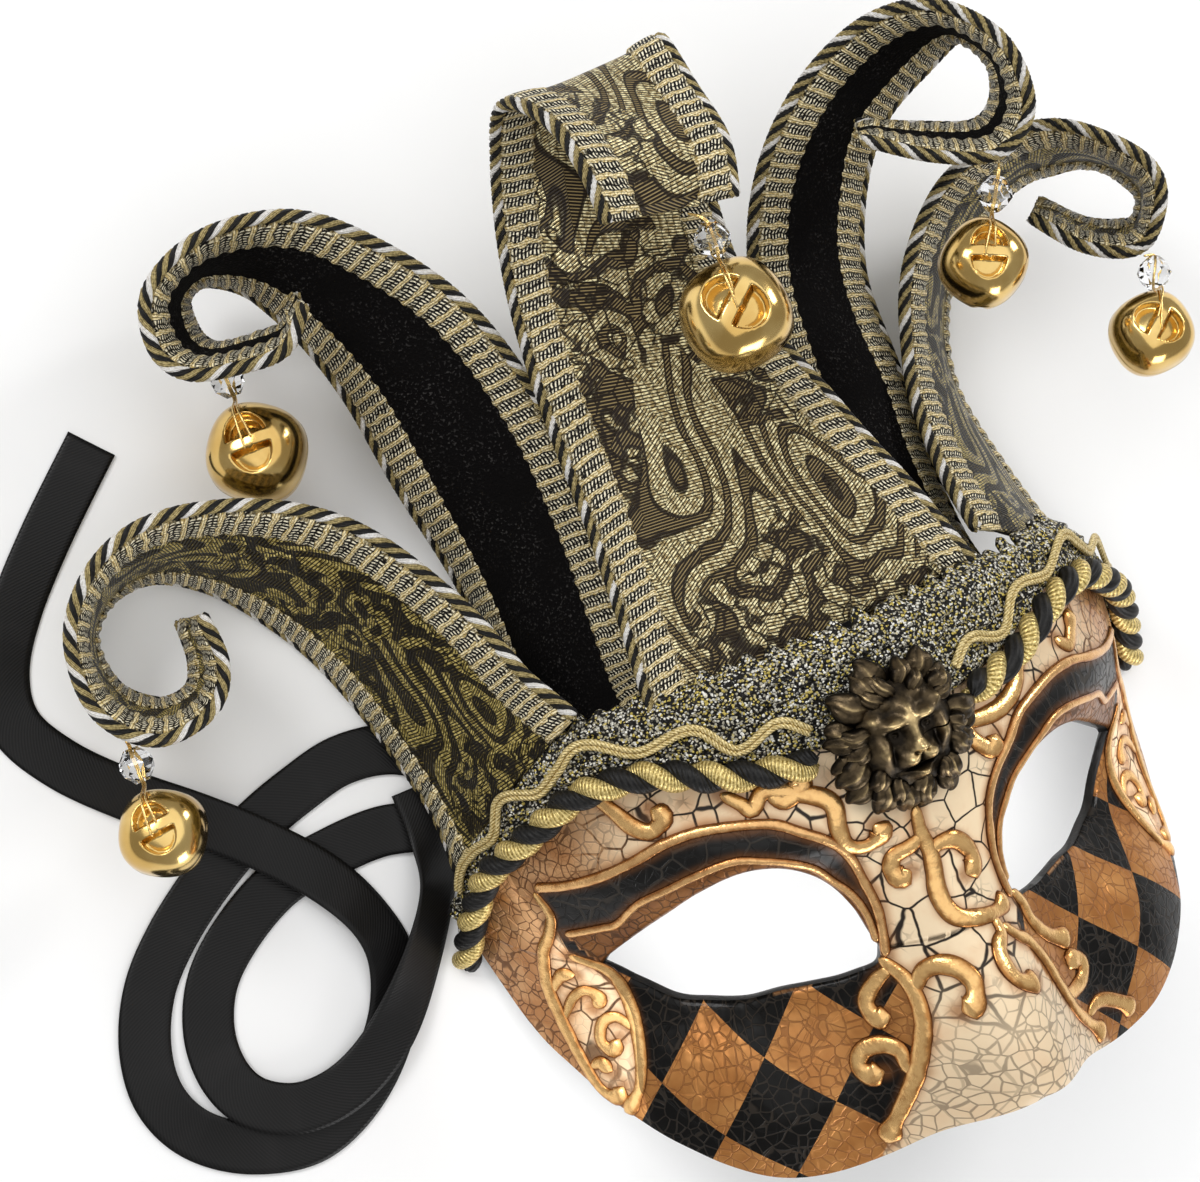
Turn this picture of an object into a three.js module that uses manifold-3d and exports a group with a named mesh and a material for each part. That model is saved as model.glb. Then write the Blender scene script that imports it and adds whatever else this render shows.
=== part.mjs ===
// A Venetian half mask with a five-pointed jester's crown, lying on its back.
// Millimetres. Face frame: +X to the viewer's right, +Y up the face, +Z out of the face.
// Tables hold degrees round the face and percentages of the named sizes.
import * as THREE from "three";
import Module from "manifold-3d";

const wasm = await Module();
wasm.setup();

// Overall sizes, which every table is a share of
const HALF_WIDTH = 78; // middle of the face to the outside of a temple
const FACE_HEIGHT = 100; // the height that 100 in a table stands for
const FACE_DEPTH = 70; // temples to the forehead
const LEAN = 12.5; // degrees that the crown is raised by, lying on its points

// Shell
const SHELL_WALL = 2.5;
const TEMPLE_TURN = 77.5; // degrees round to the end of a temple
const NOSE_RISE = 21;
const BROW_RISE = 4;
const SOCKET_SINK = 9;
const CHEEK_RISE = 3;
const RIDGE_RADIUS = 1.2;

// Trimmings
const GAP = 0.35; // between neighbouring pieces
const BAND_THICK = 1.0;
const ROPE_RADIUS = 3.1;
const BRAID_THICK = 1.6;
const BRAID_RISE = 6.8; // rope's middle to the wavy braid's middle
const WAVE_HIGH = 2;
const WAVE_LONG = 16;
const LION_RADIUS = 15.5;
const LION_THICK = 9;

// Points of the crown
const CLOTH_THICK = 2.0;
const TRIM_THICK = 3.2;
const TRIM_WIDTH = 8.5;
const TRIM_SHARE = 0.4; // a trim's most share of its point's width
const FOOT_BOW = 0.07; // rise of a point's middle, as a share of its width
const TIP_BOW = 0.03;

// Bells, beads and ribbons
const BELL_RADIUS = 8.8;
const BELL_WALL = 0.9;
const BELL_SLOT = 2.2;
const BEAD_RADIUS = 3.5;
const BEAD_HALF = 3.3;
const BEAD_BORE = 0.75;
const WIRE_RADIUS = 0.3;
const RIBBON_WIDTH = 10;
const RIBBON_THICK = 0.6;

// [degrees from the middle, height]
const LOWER_EDGE = [
  [0, 7], [9, 4], [18, -0.5], [27, -1.5], [35, 1], [45, 10], [51, 15.5],
  [58, 22], [64, 28.5], [68, 34], [71, 40], [74, 48], [77.5, 55],
];
const UPPER_EDGE = [
  [0, 95.5], [20, 95], [30, 93.5], [40, 93], [46, 91.5], [52, 86.5], [60, 79], [68, 71.5], [74, 64], [77.5, 62],
];
const ROPE_LINE = [
  [0, 79], [10, 79], [21, 81], [34, 86], [44, 85], [49, 81.5], [56, 76.5], [63, 71], [70, 61], [76, 51],
];
const BROW_LINE = [
  [57, 67], [51, 67], [45, 68], [39, 70], [34, 72], [28, 72.5], [20, 70.5],
  [16, 67], [13, 63.5], [11, 59], [10, 53], [9.3, 47], [9.6, 41], [10.2, 37],
];
// [degrees from the middle, lower lid, upper lid]
const EYE = [
  [11, 36.5, 41], [12, 35.5, 47], [14, 35, 53], [17, 34.5, 58], [21, 34.5, 61.5], [26, 34.5, 62.5],
  [32, 34, 60.5], [38, 35, 57], [44, 37, 53.5], [49, 42, 50.5], [52, 46, 48.5],
];
// [height, share of the nose's rise, its breadth in degrees]
const NOSE = [
  [-12, 38, 13], [0, 80, 12.5], [10, 100, 11], [25, 72, 10.2], [40, 38, 9], [55, 19, 11.5], [70, 10, 14], [97, 6, 14],
];

// Rows up each point: middle x (of HALF_WIDTH), y (of FACE_HEIGHT), z (of FACE_DEPTH),
// the direction across it as x, y, z, and its width (of HALF_WIDTH).
const POINTS = {
  far_left: [
    [-83, 85, 54, -44, -68, -58, 67],
    [-85, 97, 41, -37, -69, -62, 59],
    [-91, 114, 31, -33, -71, -62, 54],
    [-102, 131, 22, -24, -73, -64, 49],
    [-118, 143, 17, -14, -63, -76, 44],
    [-136, 149, 15, 6, -56, -83, 38],
    [-151, 147, 14, 17, -44, -88, 35],
    [-161, 139, 15, 29, -27, -92, 31],
    [-161, 127, 19, 38, -4, -92, 28],
    [-152, 120, 22, 29, 13, -95, 26],
    [-141, 121, 24, 0, 11, -99, 23],
    [-136, 127, 23, -19, -2, -98, 21],
    [-136, 136, 21, -17, -14, -97, 19],
  ],
  left: [
    [-63.7, 82, 67.2, -48, -27, -82, 50],
    [-57, 92, 47, -48, -27, -82, 50],
    [-54, 109, 36, -50, -28, -80, 49],
    [-53, 127, 26, -66, -26, -71, 47],
    [-56, 148, 20, -82, -32, -49, 45],
    [-62, 167, 17, -75, -42, -51, 42],
    [-73, 183, 14, -57, -48, -67, 38],
    [-85, 193, 13, -32, -51, -80, 36],
    [-101, 197, 11, 7, -44, -90, 33],
    [-112, 193, 10, 43, -29, -85, 31],
    [-114, 185, 11, 59, -13, -79, 28],
    [-110, 180, 15, 60, 2, -80, 26],
    [-100, 179, 21, 55, 14, -82, 23],
    [-91, 180, 28, 38, 16, -91, 22],
    [-86, 186, 30, 19, 8, -98, 21],
  ],
  centre: [
    [-6, 98, 90, -100, 0, -5, 92],
    [-7, 115, 76, -99, 5, -16, 81],
    [-8, 130, 62, -98, 7, -18, 72],
    [-10, 146, 51, -97, 15, -17, 64],
    [-10, 162, 42, -97, 20, -15, 59],
    [-9, 178, 40, -94, 26, -23, 55],
    [-7, 195, 44, -96, 18, -22, 51],
    [-7, 208, 52, -100, -5, 4, 46],
    [-6, 201, 69, -98, 18, 7, 42],
    [-6.5, 192, 82, -95, 12, 12, 40],
    [-8, 182, 86, -90, 0, 20, 38],
  ],
  right: [
    [39.2, 87.1, 82.3, -87, 15, 43, 48],
    [36, 95, 62, -87, 15, 43, 48],
    [38, 115, 49, -85, 31, 42, 44],
    [41, 134, 36, -87, 41, 25, 41],
    [44, 154, 26, -87, 44, 23, 38],
    [53, 171, 24, -88, 41, 25, 36],
    [64, 184, 31, -82, 49, 29, 33],
    [78, 192, 42, -70, 58, 43, 32],
    [88, 194, 53, -54, 46, 71, 29],
    [95, 186, 62, -29, 30, 91, 27],
    [94, 176, 64, -15, -5, 99, 26],
    [86, 171, 62, -23, -29, 93, 23],
    [73, 174, 56, -38, -29, 88, 21],
    [58, 180, 50, -44, -12, 89, 18],
  ],
  far_right: [
    [67, 91, 63, -65, 30, 70, 58],
    [68, 106, 41, -65, 33, 69, 51],
    [71, 124, 22.3, -58, 29, 76, 46],
    [79, 141, 16.4, -59, 35, 73, 42],
    [93, 154, 18, -59, 45, 67, 38],
    [105, 160, 26, -54, 47, 69, 36],
    [116, 161, 34, -39, 52, 76, 33],
    [127, 157, 41, -31, 34, 89, 31],
    [133, 150, 47, -26, 29, 92, 28],
    [132, 144, 48, -32, 9, 94, 26],
    [126, 140, 46, -46, -18, 87, 23],
    [116, 143, 40, -56, -16, 82, 21],
    [107, 151, 33, -61, -6, 79, 19],
  ],
};

// Where each bell hangs: the row and the edge of its point, then in millimetres x, y, z from
// there to the bead's middle, the direction from the bead to the bell, and the bell's share of BELL_RADIUS.
const BELLS = {
  far_left: [8.5, -1, [0.5, -6.3, -0.7], [-0.4, -15.5, 4.4], 0.94],
  left: [11, 1, [-1.5, -6.1, 3.4], [0, -15.2, 3.2], 1.1],
  centre: [10, -0.2, [2.6, -6.8, 2.6], [1.3, -15.2, -3.3], 1.17],
  right: [11, 1, [-3.2, -6.4, 0.1], [-4.7, -12.7, -3.8], 0.96],
  far_right: [10, 1, [0.4, -4.9, 2], [-7.4, -10, 5.5], 0.93],
};

// Ribbon routes on the surface: x (of HALF_WIDTH), y (of FACE_HEIGHT), the middle's height in
// millimetres, and its lean in degrees
const RIBBON_NEAR = [
  [-87.2, 57, 3, 0], [-82.1, 70, 0.5, 0], [-84.6, 82, 0.5, 0], [-96.2, 90, 0.5, 0], [-110.3, 92.5, 0.5, 0],
  [-124.4, 90.5, 0.5, 0], [-138.5, 87, 0.5, 0], [-152.6, 81.5, 0.5, 0], [-166.7, 74, 0.5, 0], [-176.9, 66, 0.5, 0],
  [-183.3, 56, 0.8, 5], [-184.6, 46, 1.2, 8], [-179.5, 37, 1.2, 8], [-167.9, 30, 0.6, 0], [-152.6, 27, 0.5, 0],
  [-137.2, 31.5, 0.5, 0], [-124.4, 41, 0.7, 0], [-118.6, 52, 1.6, 12], [-119.9, 62, 2.6, 22], [-126.9, 73, 3, 10],
  [-138.5, 84, 2.8, 0], [-150, 93, 2, 0], [-164.1, 103, 0.7, 0], [-175.6, 113, 0.5, 0], [-182.1, 123, 0.5, 0],
  [-180.1, 133, 0.8, 8], [-171.8, 143, 0.6, 4], [-157.7, 154.5, 0.5, 0], [-138.5, 168, 0.5, 0],
];
const RIBBON_FAR = [
  [84.6, 56, 3, 0], [64.1, 68, 0.6, 0], [32.1, 80, 0.5, 0], [-6.4, 84, 0.5, 0], [-44.9, 81, 0.5, 0],
  [-66.7, 77, 1.4, 0], [-80.8, 74.5, 1.8, 0], [-94.9, 74, 1.3, 0], [-109, 76.5, 0.5, 0], [-123.1, 76.5, 0.5, 0],
  [-137.2, 75, 0.5, 0], [-150.6, 70, 0.5, 0], [-161.5, 63, 0.5, 0], [-167.3, 54, 0.5, 0], [-167.9, 45, 1.2, 0],
  [-163.5, 38, 2, 0], [-153.2, 33.5, 2.4, 0], [-139.7, 34, 2.6, 0], [-125.6, 40, 3.6, 8], [-111.5, 51, 4, 30],
  [-101.3, 62, 4, 35], [-96.8, 72, 2.6, 8], [-96.2, 82, 1.7, 0],
];

const MATERIALS = {
  enamel: { color: 0xc49a6c, roughness: 0.45, metalness: 0.1 },
  bronze: { color: 0x3a2c18, roughness: 0.4, metalness: 1 },
  lurex: { color: 0x4b4638, roughness: 0.6, metalness: 0.3 },
  rope: { color: 0x2b2414, roughness: 0.5, metalness: 0.2 },
  gold_cord: { color: 0xa98c33, roughness: 0.4, metalness: 0.6 },
  brocade: { color: 0x8a7850, roughness: 0.6, metalness: 0.2 },
  velvet: { color: 0x070707, roughness: 0.95, metalness: 0 },
  gimp: { color: 0x8e7f5c, roughness: 0.7, metalness: 0.1 },
  brass: { color: 0xd9a441, roughness: 0.2, metalness: 1 },
  crystal: { color: 0xf2f4f6, roughness: 0.05, metalness: 0 },
  wire: { color: 0xc9a24a, roughness: 0.3, metalness: 1 },
  satin: { color: 0x0a0a0c, roughness: 0.4, metalness: 0 },
};

const radians = THREE.MathUtils.degToRad;
const lerp = THREE.MathUtils.lerp;
const V = (x, y, z) => new THREE.Vector3(x, y, z);

// A column of a table at a key, smooth between its rows.
function lookUp(rows, key, column = 1) {
  const last = rows.length - 1;
  const k = THREE.MathUtils.clamp(key, rows[0][0], rows[last][0]);
  let i = 0;
  while (i < last - 1 && k > rows[i + 1][0]) i += 1;
  const slope = (j) => {
    const a = rows[Math.max(j - 1, 0)];
    const b = rows[Math.min(j + 1, last)];
    return (b[column] - a[column]) / (b[0] - a[0]);
  };
  const span = rows[i + 1][0] - rows[i][0];
  const t = (k - rows[i][0]) / span;
  const from = rows[i][column];
  const to = rows[i + 1][column];
  const bend = (1 - t) * slope(i) * span - t * slope(i + 1) * span;
  return lerp(from, to, t) + t * (1 - t) * (bend + (to - from) * (2 * t - 1));
}

// How far the face stands out of its plain oval, in millimetres.
function relief(turn, height) {
  const side = Math.abs(turn);
  const hill = (x, middle, breadth) => Math.exp(-(((x - middle) / breadth) ** 2));
  const nose = (NOSE_RISE * lookUp(NOSE, height, 1)) / 100;
  const brow = BROW_RISE * hill(height, 66, 9) * hill(side, 24, 26);
  const socket = SOCKET_SINK * hill(height, 40, 14) * hill(side, 38, 20);
  const cheek = CHEEK_RISE * hill(height, 10, 14) * hill(side, 40, 22);
  return nose * hill(turn, 0, lookUp(NOSE, height, 2)) + brow - socket + cheek;
}

// The point of the face at so many degrees round and a table height, moved out by a distance.
function onFace(turn, height, out = 0) {
  const rise = relief(turn, height) + out;
  return V(
    (HALF_WIDTH + rise) * Math.sin(radians(turn)),
    (height / 100) * FACE_HEIGHT,
    (FACE_DEPTH + rise) * Math.cos(radians(turn)),
  );
}

function geometryOf(vertices, triangles) {
  const geometry = new THREE.BufferGeometry();
  geometry.setAttribute("position", new THREE.Float32BufferAttribute(vertices, 3));
  geometry.setIndex(triangles);
  return geometry;
}

// A closed solid through sections, each a pair of rows of points: its top and its underside.
function loft(sections) {
  const rings = sections.map(([top, under]) => [...top, ...[...under].reverse()]);
  const count = rings[0].length;
  const vertices = rings.flat().flatMap((p) => [p.x, p.y, p.z]);
  const triangles = [];
  for (let s = 0; s + 1 < rings.length; s += 1) {
    for (let i = 0; i < count; i += 1) {
      const a = s * count + i;
      const b = s * count + ((i + 1) % count);
      triangles.push(a, b, b + count, a, b + count, a + count);
    }
  }
  const end = (rings.length - 1) * count;
  for (let i = 0; i + 1 < count / 2; i += 1) {
    const [a, b, c, d] = [i, i + 1, count - 2 - i, count - 1 - i];
    triangles.push(a, c, b, a, d, c, end + a, end + b, end + c, end + a, end + c, end + d);
  }
  if (volumeOf(vertices, triangles) < 0) triangles.reverse();
  return geometryOf(vertices, triangles);
}

function volumeOf(vertices, triangles) {
  const at = (i) => V(vertices[3 * i], vertices[3 * i + 1], vertices[3 * i + 2]);
  let sum = 0;
  for (let i = 0; i < triangles.length; i += 3) {
    sum += at(triangles[i]).dot(at(triangles[i + 1]).cross(at(triangles[i + 2])));
  }
  return sum;
}

function toSolid(geometry) {
  const source = geometry.index ? geometry.toNonIndexed() : geometry;
  const keys = new Map();
  const vertices = [];
  const triangles = [];
  const position = source.getAttribute("position");
  for (let i = 0; i < position.count; i += 1) {
    const p = [position.getX(i), position.getY(i), position.getZ(i)];
    const key = p.map((x) => Math.round(x * 1e4)).join();
    if (!keys.has(key)) {
      keys.set(key, vertices.length / 3);
      vertices.push(...p);
    }
    triangles.push(keys.get(key));
  }
  const whole = [];
  for (let i = 0; i < triangles.length; i += 3) {
    const [a, b, c] = triangles.slice(i, i + 3);
    if (a !== b && b !== c && c !== a) whole.push(a, b, c);
  }
  return new wasm.Manifold(
    new wasm.Mesh({
      numProp: 3,
      vertProperties: new Float32Array(vertices),
      triVerts: new Uint32Array(whole),
    }),
  );
}

function fromSolid(solid) {
  const mesh = solid.getMesh();
  return geometryOf(Array.from(mesh.vertProperties), Array.from(mesh.triVerts));
}

// The sections of a tube along a line of points, as pairs of rows.
function tube(line, radius, sides) {
  const curve = new THREE.CatmullRomCurve3(line, false, "catmullrom", 0.5);
  const frames = curve.computeFrenetFrames(line.length - 1, false);
  const half = sides / 2;
  return line.map((p, s) => {
    const at = (i) => {
      const angle = (2 * Math.PI * (i + 0.5)) / sides;
      const across = frames.normals[s].clone().multiplyScalar(radius * Math.cos(angle));
      return p.clone().add(across).addScaledVector(frames.binormals[s], radius * Math.sin(angle));
    };
    const top = Array.from({ length: half }, (_, i) => at(i));
    const under = Array.from({ length: half }, (_, i) => at(sides - 1 - i));
    return [top, under];
  });
}

const mask = new THREE.Group();
const floor = new THREE.Group();

function addPiece(group, name, geometry, finish) {
  const material = new THREE.MeshStandardMaterial(MATERIALS[finish]);
  const mesh = new THREE.Mesh(geometry, material);
  mesh.name = name;
  group.add(mesh);
}

// Evenly spaced numbers from one value to another.
const steps = (from, to, count) =>
  Array.from({ length: count + 1 }, (_, i) => lerp(from, to, i / count));

function buildShell() {
  const sections = steps(-TEMPLE_TURN, TEMPLE_TURN, 28).map((turn) => {
    const side = Math.abs(turn);
    const heights = steps(lookUp(LOWER_EDGE, side), lookUp(UPPER_EDGE, side), 10);
    return [
      heights.map((h) => onFace(turn, h)),
      heights.map((h) => onFace(turn, h, -SHELL_WALL)),
    ];
  });
  let shell = toSolid(loft(sections));
  for (const side of [-1, 1]) {
    const reach = 3.4 * SHELL_WALL;
    const plug = EYE.map(([turn, low, high]) => [
      [onFace(side * turn, low, reach), onFace(side * turn, high, reach)],
      [onFace(side * turn, low, -reach), onFace(side * turn, high, -reach)],
    ]);
    const ridge = BROW_LINE.map(([turn, height]) => onFace(side * turn, height, RIDGE_RADIUS / 4));
    shell = shell.subtract(toSolid(loft(plug))).add(toSolid(loft(tube(ridge, RIDGE_RADIUS, 6))));
  }
  addPiece(mask, "mask_shell", fromSolid(shell), "enamel");
}

// A place beside the rope's line: degrees round and height, so far from the rope along the face.
function besideRope(turn, distance) {
  const perDegree = (radians(1) * (HALF_WIDTH + FACE_DEPTH)) / 2;
  const rise = (lookUp(ROPE_LINE, turn + 0.5) - lookUp(ROPE_LINE, turn - 0.5)) / 100;
  const slope = (rise * FACE_HEIGHT) / perDegree;
  const long = Math.hypot(1, slope);
  const round = (-distance * slope) / long / perDegree;
  const up = ((distance / long) * 100) / FACE_HEIGHT;
  return [turn + round, lookUp(ROPE_LINE, turn) + up];
}

function buildBand() {
  const clear = ROPE_RADIUS + GAP;
  const low = steps(0, TEMPLE_TURN - 1, 40).map((turn) => besideRope(turn, clear));
  const sections = steps(-TEMPLE_TURN + 1, TEMPLE_TURN - 1, 30).map((turn) => {
    const side = Math.abs(turn);
    const bottom = Math.max(lookUp(low, side), lookUp(LOWER_EDGE, side));
    const top = lookUp(UPPER_EDGE, side);
    return [
      [onFace(turn, bottom, GAP + BAND_THICK), onFace(turn, top, GAP + BAND_THICK)],
      [onFace(turn, bottom, GAP), onFace(turn, top, GAP)],
    ];
  });
  addPiece(mask, "crepe_band", loft(sections), "lurex");
}

function buildRopes() {
  const lionTurn = THREE.MathUtils.radToDeg(Math.asin((LION_RADIUS * 1.12 + GAP) / HALF_WIDTH));
  for (const [name, side] of [["left", -1], ["right", 1]]) {
    const rope = steps(lionTurn + 1, TEMPLE_TURN - 1.5, 20).map((turn) =>
      onFace(side * turn, lookUp(ROPE_LINE, turn), ROPE_RADIUS + GAP));
    addPiece(mask, `rope_${name}`, loft(tube(rope, ROPE_RADIUS, 8)), "rope");
    const out = 2 * GAP + BAND_THICK + BRAID_THICK / 2;
    const perDegree = (radians(1) * (HALF_WIDTH + FACE_DEPTH)) / 2;
    const braid = steps(lionTurn + 1, 55, 28).map((turn) => {
      const wave = WAVE_HIGH * Math.sin((2 * Math.PI * turn * perDegree) / WAVE_LONG);
      const [round, height] = besideRope(turn, BRAID_RISE + wave);
      return onFace(side * round, height, out);
    });
    addPiece(mask, `soutache_${name}`, loft(tube(braid, BRAID_THICK / 2, 4)), "gold_cord");
  }
}

// The lion's head: a dome with a muzzle, a brow and tufts of mane round it.
function buildLion() {
  const profile = [[0, 0], [1, 0], [1, 0.3], [0.82, 0.62], [0.62, 0.6], [0.45, 0.8], [0.24, 0.94], [0, 1]];
  const points = profile.map(([r, z]) => new THREE.Vector2(r * LION_RADIUS, z * LION_THICK));
  const geometry = new THREE.LatheGeometry(points, 30);
  geometry.rotateX(Math.PI / 2);
  const position = geometry.getAttribute("position");
  for (let i = 0; i < position.count; i += 1) {
    const p = V(position.getX(i), position.getY(i), position.getZ(i));
    const share = Math.hypot(p.x, p.y) / LION_RADIUS;
    const around = Math.atan2(p.y, p.x);
    const tuft = 1 + 0.08 * Math.cos(10 * around) * share;
    const muzzle = 2 * Math.exp(-((p.x / 4) ** 2) - ((p.y + 3.5) / 4) ** 2);
    const rise = p.z > 0.01 ? muzzle : 0;
    position.setXYZ(i, p.x * tuft, p.y * tuft * 1.06, p.z + rise);
  }
  const base = onFace(0, lookUp(ROPE_LINE, 0), 2 * GAP + BAND_THICK + 0.8);
  geometry.translate(base.x, base.y, base.z);
  addPiece(mask, "lion_head", fromSolid(toSolid(geometry)), "bronze");
}

// A point's table at a row number, whole or between rows.
function rowAt(rows, at) {
  const last = rows.length - 1;
  const i = Math.min(Math.floor(at), last - 1);
  const t = at - i;
  return rows[0].map((_, column) => {
    const value = (j) => rows[THREE.MathUtils.clamp(j, 0, last)][column];
    const [a, b, c, d] = [value(i - 1), value(i), value(i + 1), value(i + 2)];
    const square = 2 * a - 5 * b + 4 * c - d;
    const cube = 3 * b - a - 3 * c + d;
    return b + 0.5 * t * (c - a + t * (square + t * cube));
  });
}

// Sections up a point of the crown: its middle, its directions across and outward, width and bow.
function pointFrames(rows) {
  const count = 2 * (rows.length - 1);
  const middle = (at) => {
    const [x, y, z] = rowAt(rows, THREE.MathUtils.clamp(at, 0, rows.length - 1));
    return V(x * HALF_WIDTH, y * FACE_HEIGHT, z * FACE_DEPTH).divideScalar(100);
  };
  return steps(0, rows.length - 1, count).map((at) => {
    const [, , , ax, ay, az, wide] = rowAt(rows, at);
    const along = middle(at + 0.25).sub(middle(at - 0.25)).normalize();
    const across = V(ax, ay, az);
    across.addScaledVector(along, -across.dot(along)).normalize();
    const outward = along.clone().cross(across);
    const width = (wide / 100) * HALF_WIDTH;
    const bow = width * lerp(FOOT_BOW, TIP_BOW, at / (rows.length - 1));
    return { middle: middle(at), across, outward, width, bow };
  });
}

// A place on a section: share across, from -0.5 to 0.5, and millimetres outward.
function onPoint(frame, share, out) {
  const arch = frame.bow * (1 - 4 * share * share) - frame.bow / 2;
  return frame.middle
    .clone()
    .addScaledVector(frame.across, share * frame.width)
    .addScaledVector(frame.outward, arch + out);
}

function buildPoints() {
  for (const [name, rows] of Object.entries(POINTS)) {
    const frames = pointFrames(rows);
    const finish = name === "left" || name === "right" ? "velvet" : "brocade";
    const trim = (frame) => Math.min(TRIM_WIDTH, TRIM_SHARE * frame.width);
    const cloth = frames.map((frame) => {
      const edge = 0.5 - (trim(frame) + 1.4 * GAP) / frame.width;
      const shares = [-edge, 0, edge];
      return [
        shares.map((u) => onPoint(frame, u, CLOTH_THICK / 2)),
        shares.map((u) => onPoint(frame, u, -CLOTH_THICK / 2)),
      ];
    });
    addPiece(mask, `point_${name}`, loft(cloth), finish);
    for (const [edgeName, side] of [["a", 1], ["b", -1]]) {
      const sections = frames.map((frame) => {
        const inner = 0.5 - trim(frame) / frame.width;
        const neck = 0.5 - TRIM_THICK / 1.4 / frame.width;
        return [
          [
            onPoint(frame, side * inner, TRIM_THICK / 2),
            onPoint(frame, side * neck, TRIM_THICK / 2),
            onPoint(frame, side * 0.5, TRIM_THICK / 5),
          ],
          [
            onPoint(frame, side * inner, -TRIM_THICK / 2),
            onPoint(frame, side * neck, -TRIM_THICK / 2),
            onPoint(frame, side * 0.5, -TRIM_THICK / 5),
          ],
        ];
      });
      addPiece(mask, `trim_${name}_${edgeName}`, loft(sections), "gimp");
    }
  }
}

const shareToPoint = ([x, y, z]) =>
  V(x * HALF_WIDTH, y * FACE_HEIGHT, z * FACE_DEPTH).divideScalar(100);

function bellSolid(size) {
  const ball = (r0, sides, rows) => {
    const profile = steps(-90, 90, rows).map((a) => {
      const soft = (x) => Math.sign(x) * Math.abs(x) ** 0.8;
      const r = Math.abs(a) === 90 ? 0 : r0 * soft(Math.cos(radians(a)));
      return new THREE.Vector2(r, r0 * soft(Math.sin(radians(a))));
    });
    return toSolid(new THREE.LatheGeometry(profile, sides));
  };
  const box = (x, y, z, at) => wasm.Manifold.cube([x, y, z], true).translate(at);
  const recess = size * 0.34;
  let bell = ball(size, 10, 6).subtract(ball(size - BELL_WALL, 8, 4));
  for (const side of [-1, 1]) {
    const place = [side * recess, size * 0.97, 0];
    bell = bell.subtract(box(recess * 1.2, size * 0.4, recess * 2.2, place));
  }
  return bell.subtract(box(size * 1.3, size, BELL_SLOT, [0, -size, 0]));
}

function buildBells() {
  const beadProfile = [
    [BEAD_BORE, -BEAD_HALF],
    [BEAD_RADIUS * 0.5, -BEAD_HALF],
    [BEAD_RADIUS, 0],
    [BEAD_RADIUS * 0.5, BEAD_HALF],
    [BEAD_BORE, BEAD_HALF],
    [BEAD_BORE, -BEAD_HALF],
  ].map(([r, y]) => new THREE.Vector2(r, y));
  const bead = fromSolid(toSolid(new THREE.LatheGeometry(beadProfile, 10)));
  for (const [name, [row, side, toBead, toBell, share]] of Object.entries(BELLS)) {
    const radius = BELL_RADIUS * share;
    const bell = fromSolid(bellSolid(radius));
    const frame = pointFrames(POINTS[name])[2 * row];
    const edge = onPoint(frame, side * 0.5, 0);
    const hang = V(...toBell).normalize();
    const beadAt = edge.clone().add(V(...toBead));
    const clear = TRIM_THICK / 5 + GAP + WIRE_RADIUS;
    const stitch = V(...toBead).setLength(clear).add(edge);
    const bellAt = beadAt.clone().addScaledVector(hang, radius + BEAD_HALF + 2);
    const crown = V(-0.27, 0.23, 0.87).addScaledVector(hang, -0.22).normalize();
    const shoulder = crown.clone().addScaledVector(hang, -0.9).normalize();
    const tilt = new THREE.Quaternion().setFromUnitVectors(V(0, 1, 0), crown);
    addPiece(mask, `bell_${name}`, bell.applyQuaternion(tilt).translate(...bellAt), "brass");
    const turn = new THREE.Quaternion().setFromUnitVectors(V(0, -1, 0), hang);
    addPiece(mask, `bead_${name}`, bead.clone().applyQuaternion(turn).translate(...beadAt), "crystal");
    const wire = [
      stitch,
      beadAt.clone().addScaledVector(hang, -BEAD_HALF - 0.6),
      beadAt.clone().addScaledVector(hang, BEAD_HALF + 0.2),
      bellAt.clone().addScaledVector(shoulder, 1.27 * radius),
      bellAt.clone().addScaledVector(crown, radius + WIRE_RADIUS + GAP),
    ];
    addPiece(mask, `wire_${name}`, loft(tube(wire, WIRE_RADIUS, 6)), "wire");
  }
}

function buildRibbons() {
  for (const [name, route] of [["near", RIBBON_NEAR], ["far", RIBBON_FAR]]) {
    const at = (i) => rowAt(route, THREE.MathUtils.clamp(i, 0, route.length - 1));
    const place = (i) => shareToPoint(at(i));
    const sections = steps(0, route.length - 1, 2 * (route.length - 1)).map((i) => {
      const [x, y, z, lean] = at(i);
      const along = place(i + 0.25).sub(place(i - 0.25)).setZ(0).normalize();
      const across = V(-along.y, along.x, 0).applyAxisAngle(along, radians(lean));
      const up = along.clone().cross(across);
      const least = (RIBBON_WIDTH / 2) * Math.abs(Math.sin(radians(lean))) + RIBBON_THICK / 2;
      const middle = shareToPoint([x, y, 0]).setZ(Math.max(z, least + 0.05));
      const corner = (u, v) =>
        middle
          .clone()
          .addScaledVector(across, (u * RIBBON_WIDTH) / 2)
          .addScaledVector(up, (v * RIBBON_THICK) / 2);
      return [
        [corner(-1, 1), corner(1, 1)],
        [corner(-1, -1), corner(1, -1)],
      ];
    });
    addPiece(floor, `ribbon_${name}`, loft(sections), "satin");
  }
}

buildShell();
buildBand();
buildRopes();
buildLion();
buildPoints();
buildBells();
buildRibbons();

// Lay the mask on its temples and points, and put the middle of its footprint at the origin.
const part = new THREE.Group();
part.add(mask, floor);
mask.rotation.x = radians(LEAN);
part.updateMatrixWorld(true);
const box = new THREE.Box3().setFromObject(mask, true);
const centre = box.getCenter(new THREE.Vector3());
mask.position.set(-centre.x, -centre.y, -box.min.z);
floor.position.set(-centre.x, -centre.y, 0);

export default part;
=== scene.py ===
"""A Venetian jester's half mask, lying on its back on a pale floor.

The mask is worked out in its own face frame in millimetres: +X to the viewer's right, +Y up
the face, +Z out of it. FaceForm.place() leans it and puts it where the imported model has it.
"""

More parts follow.
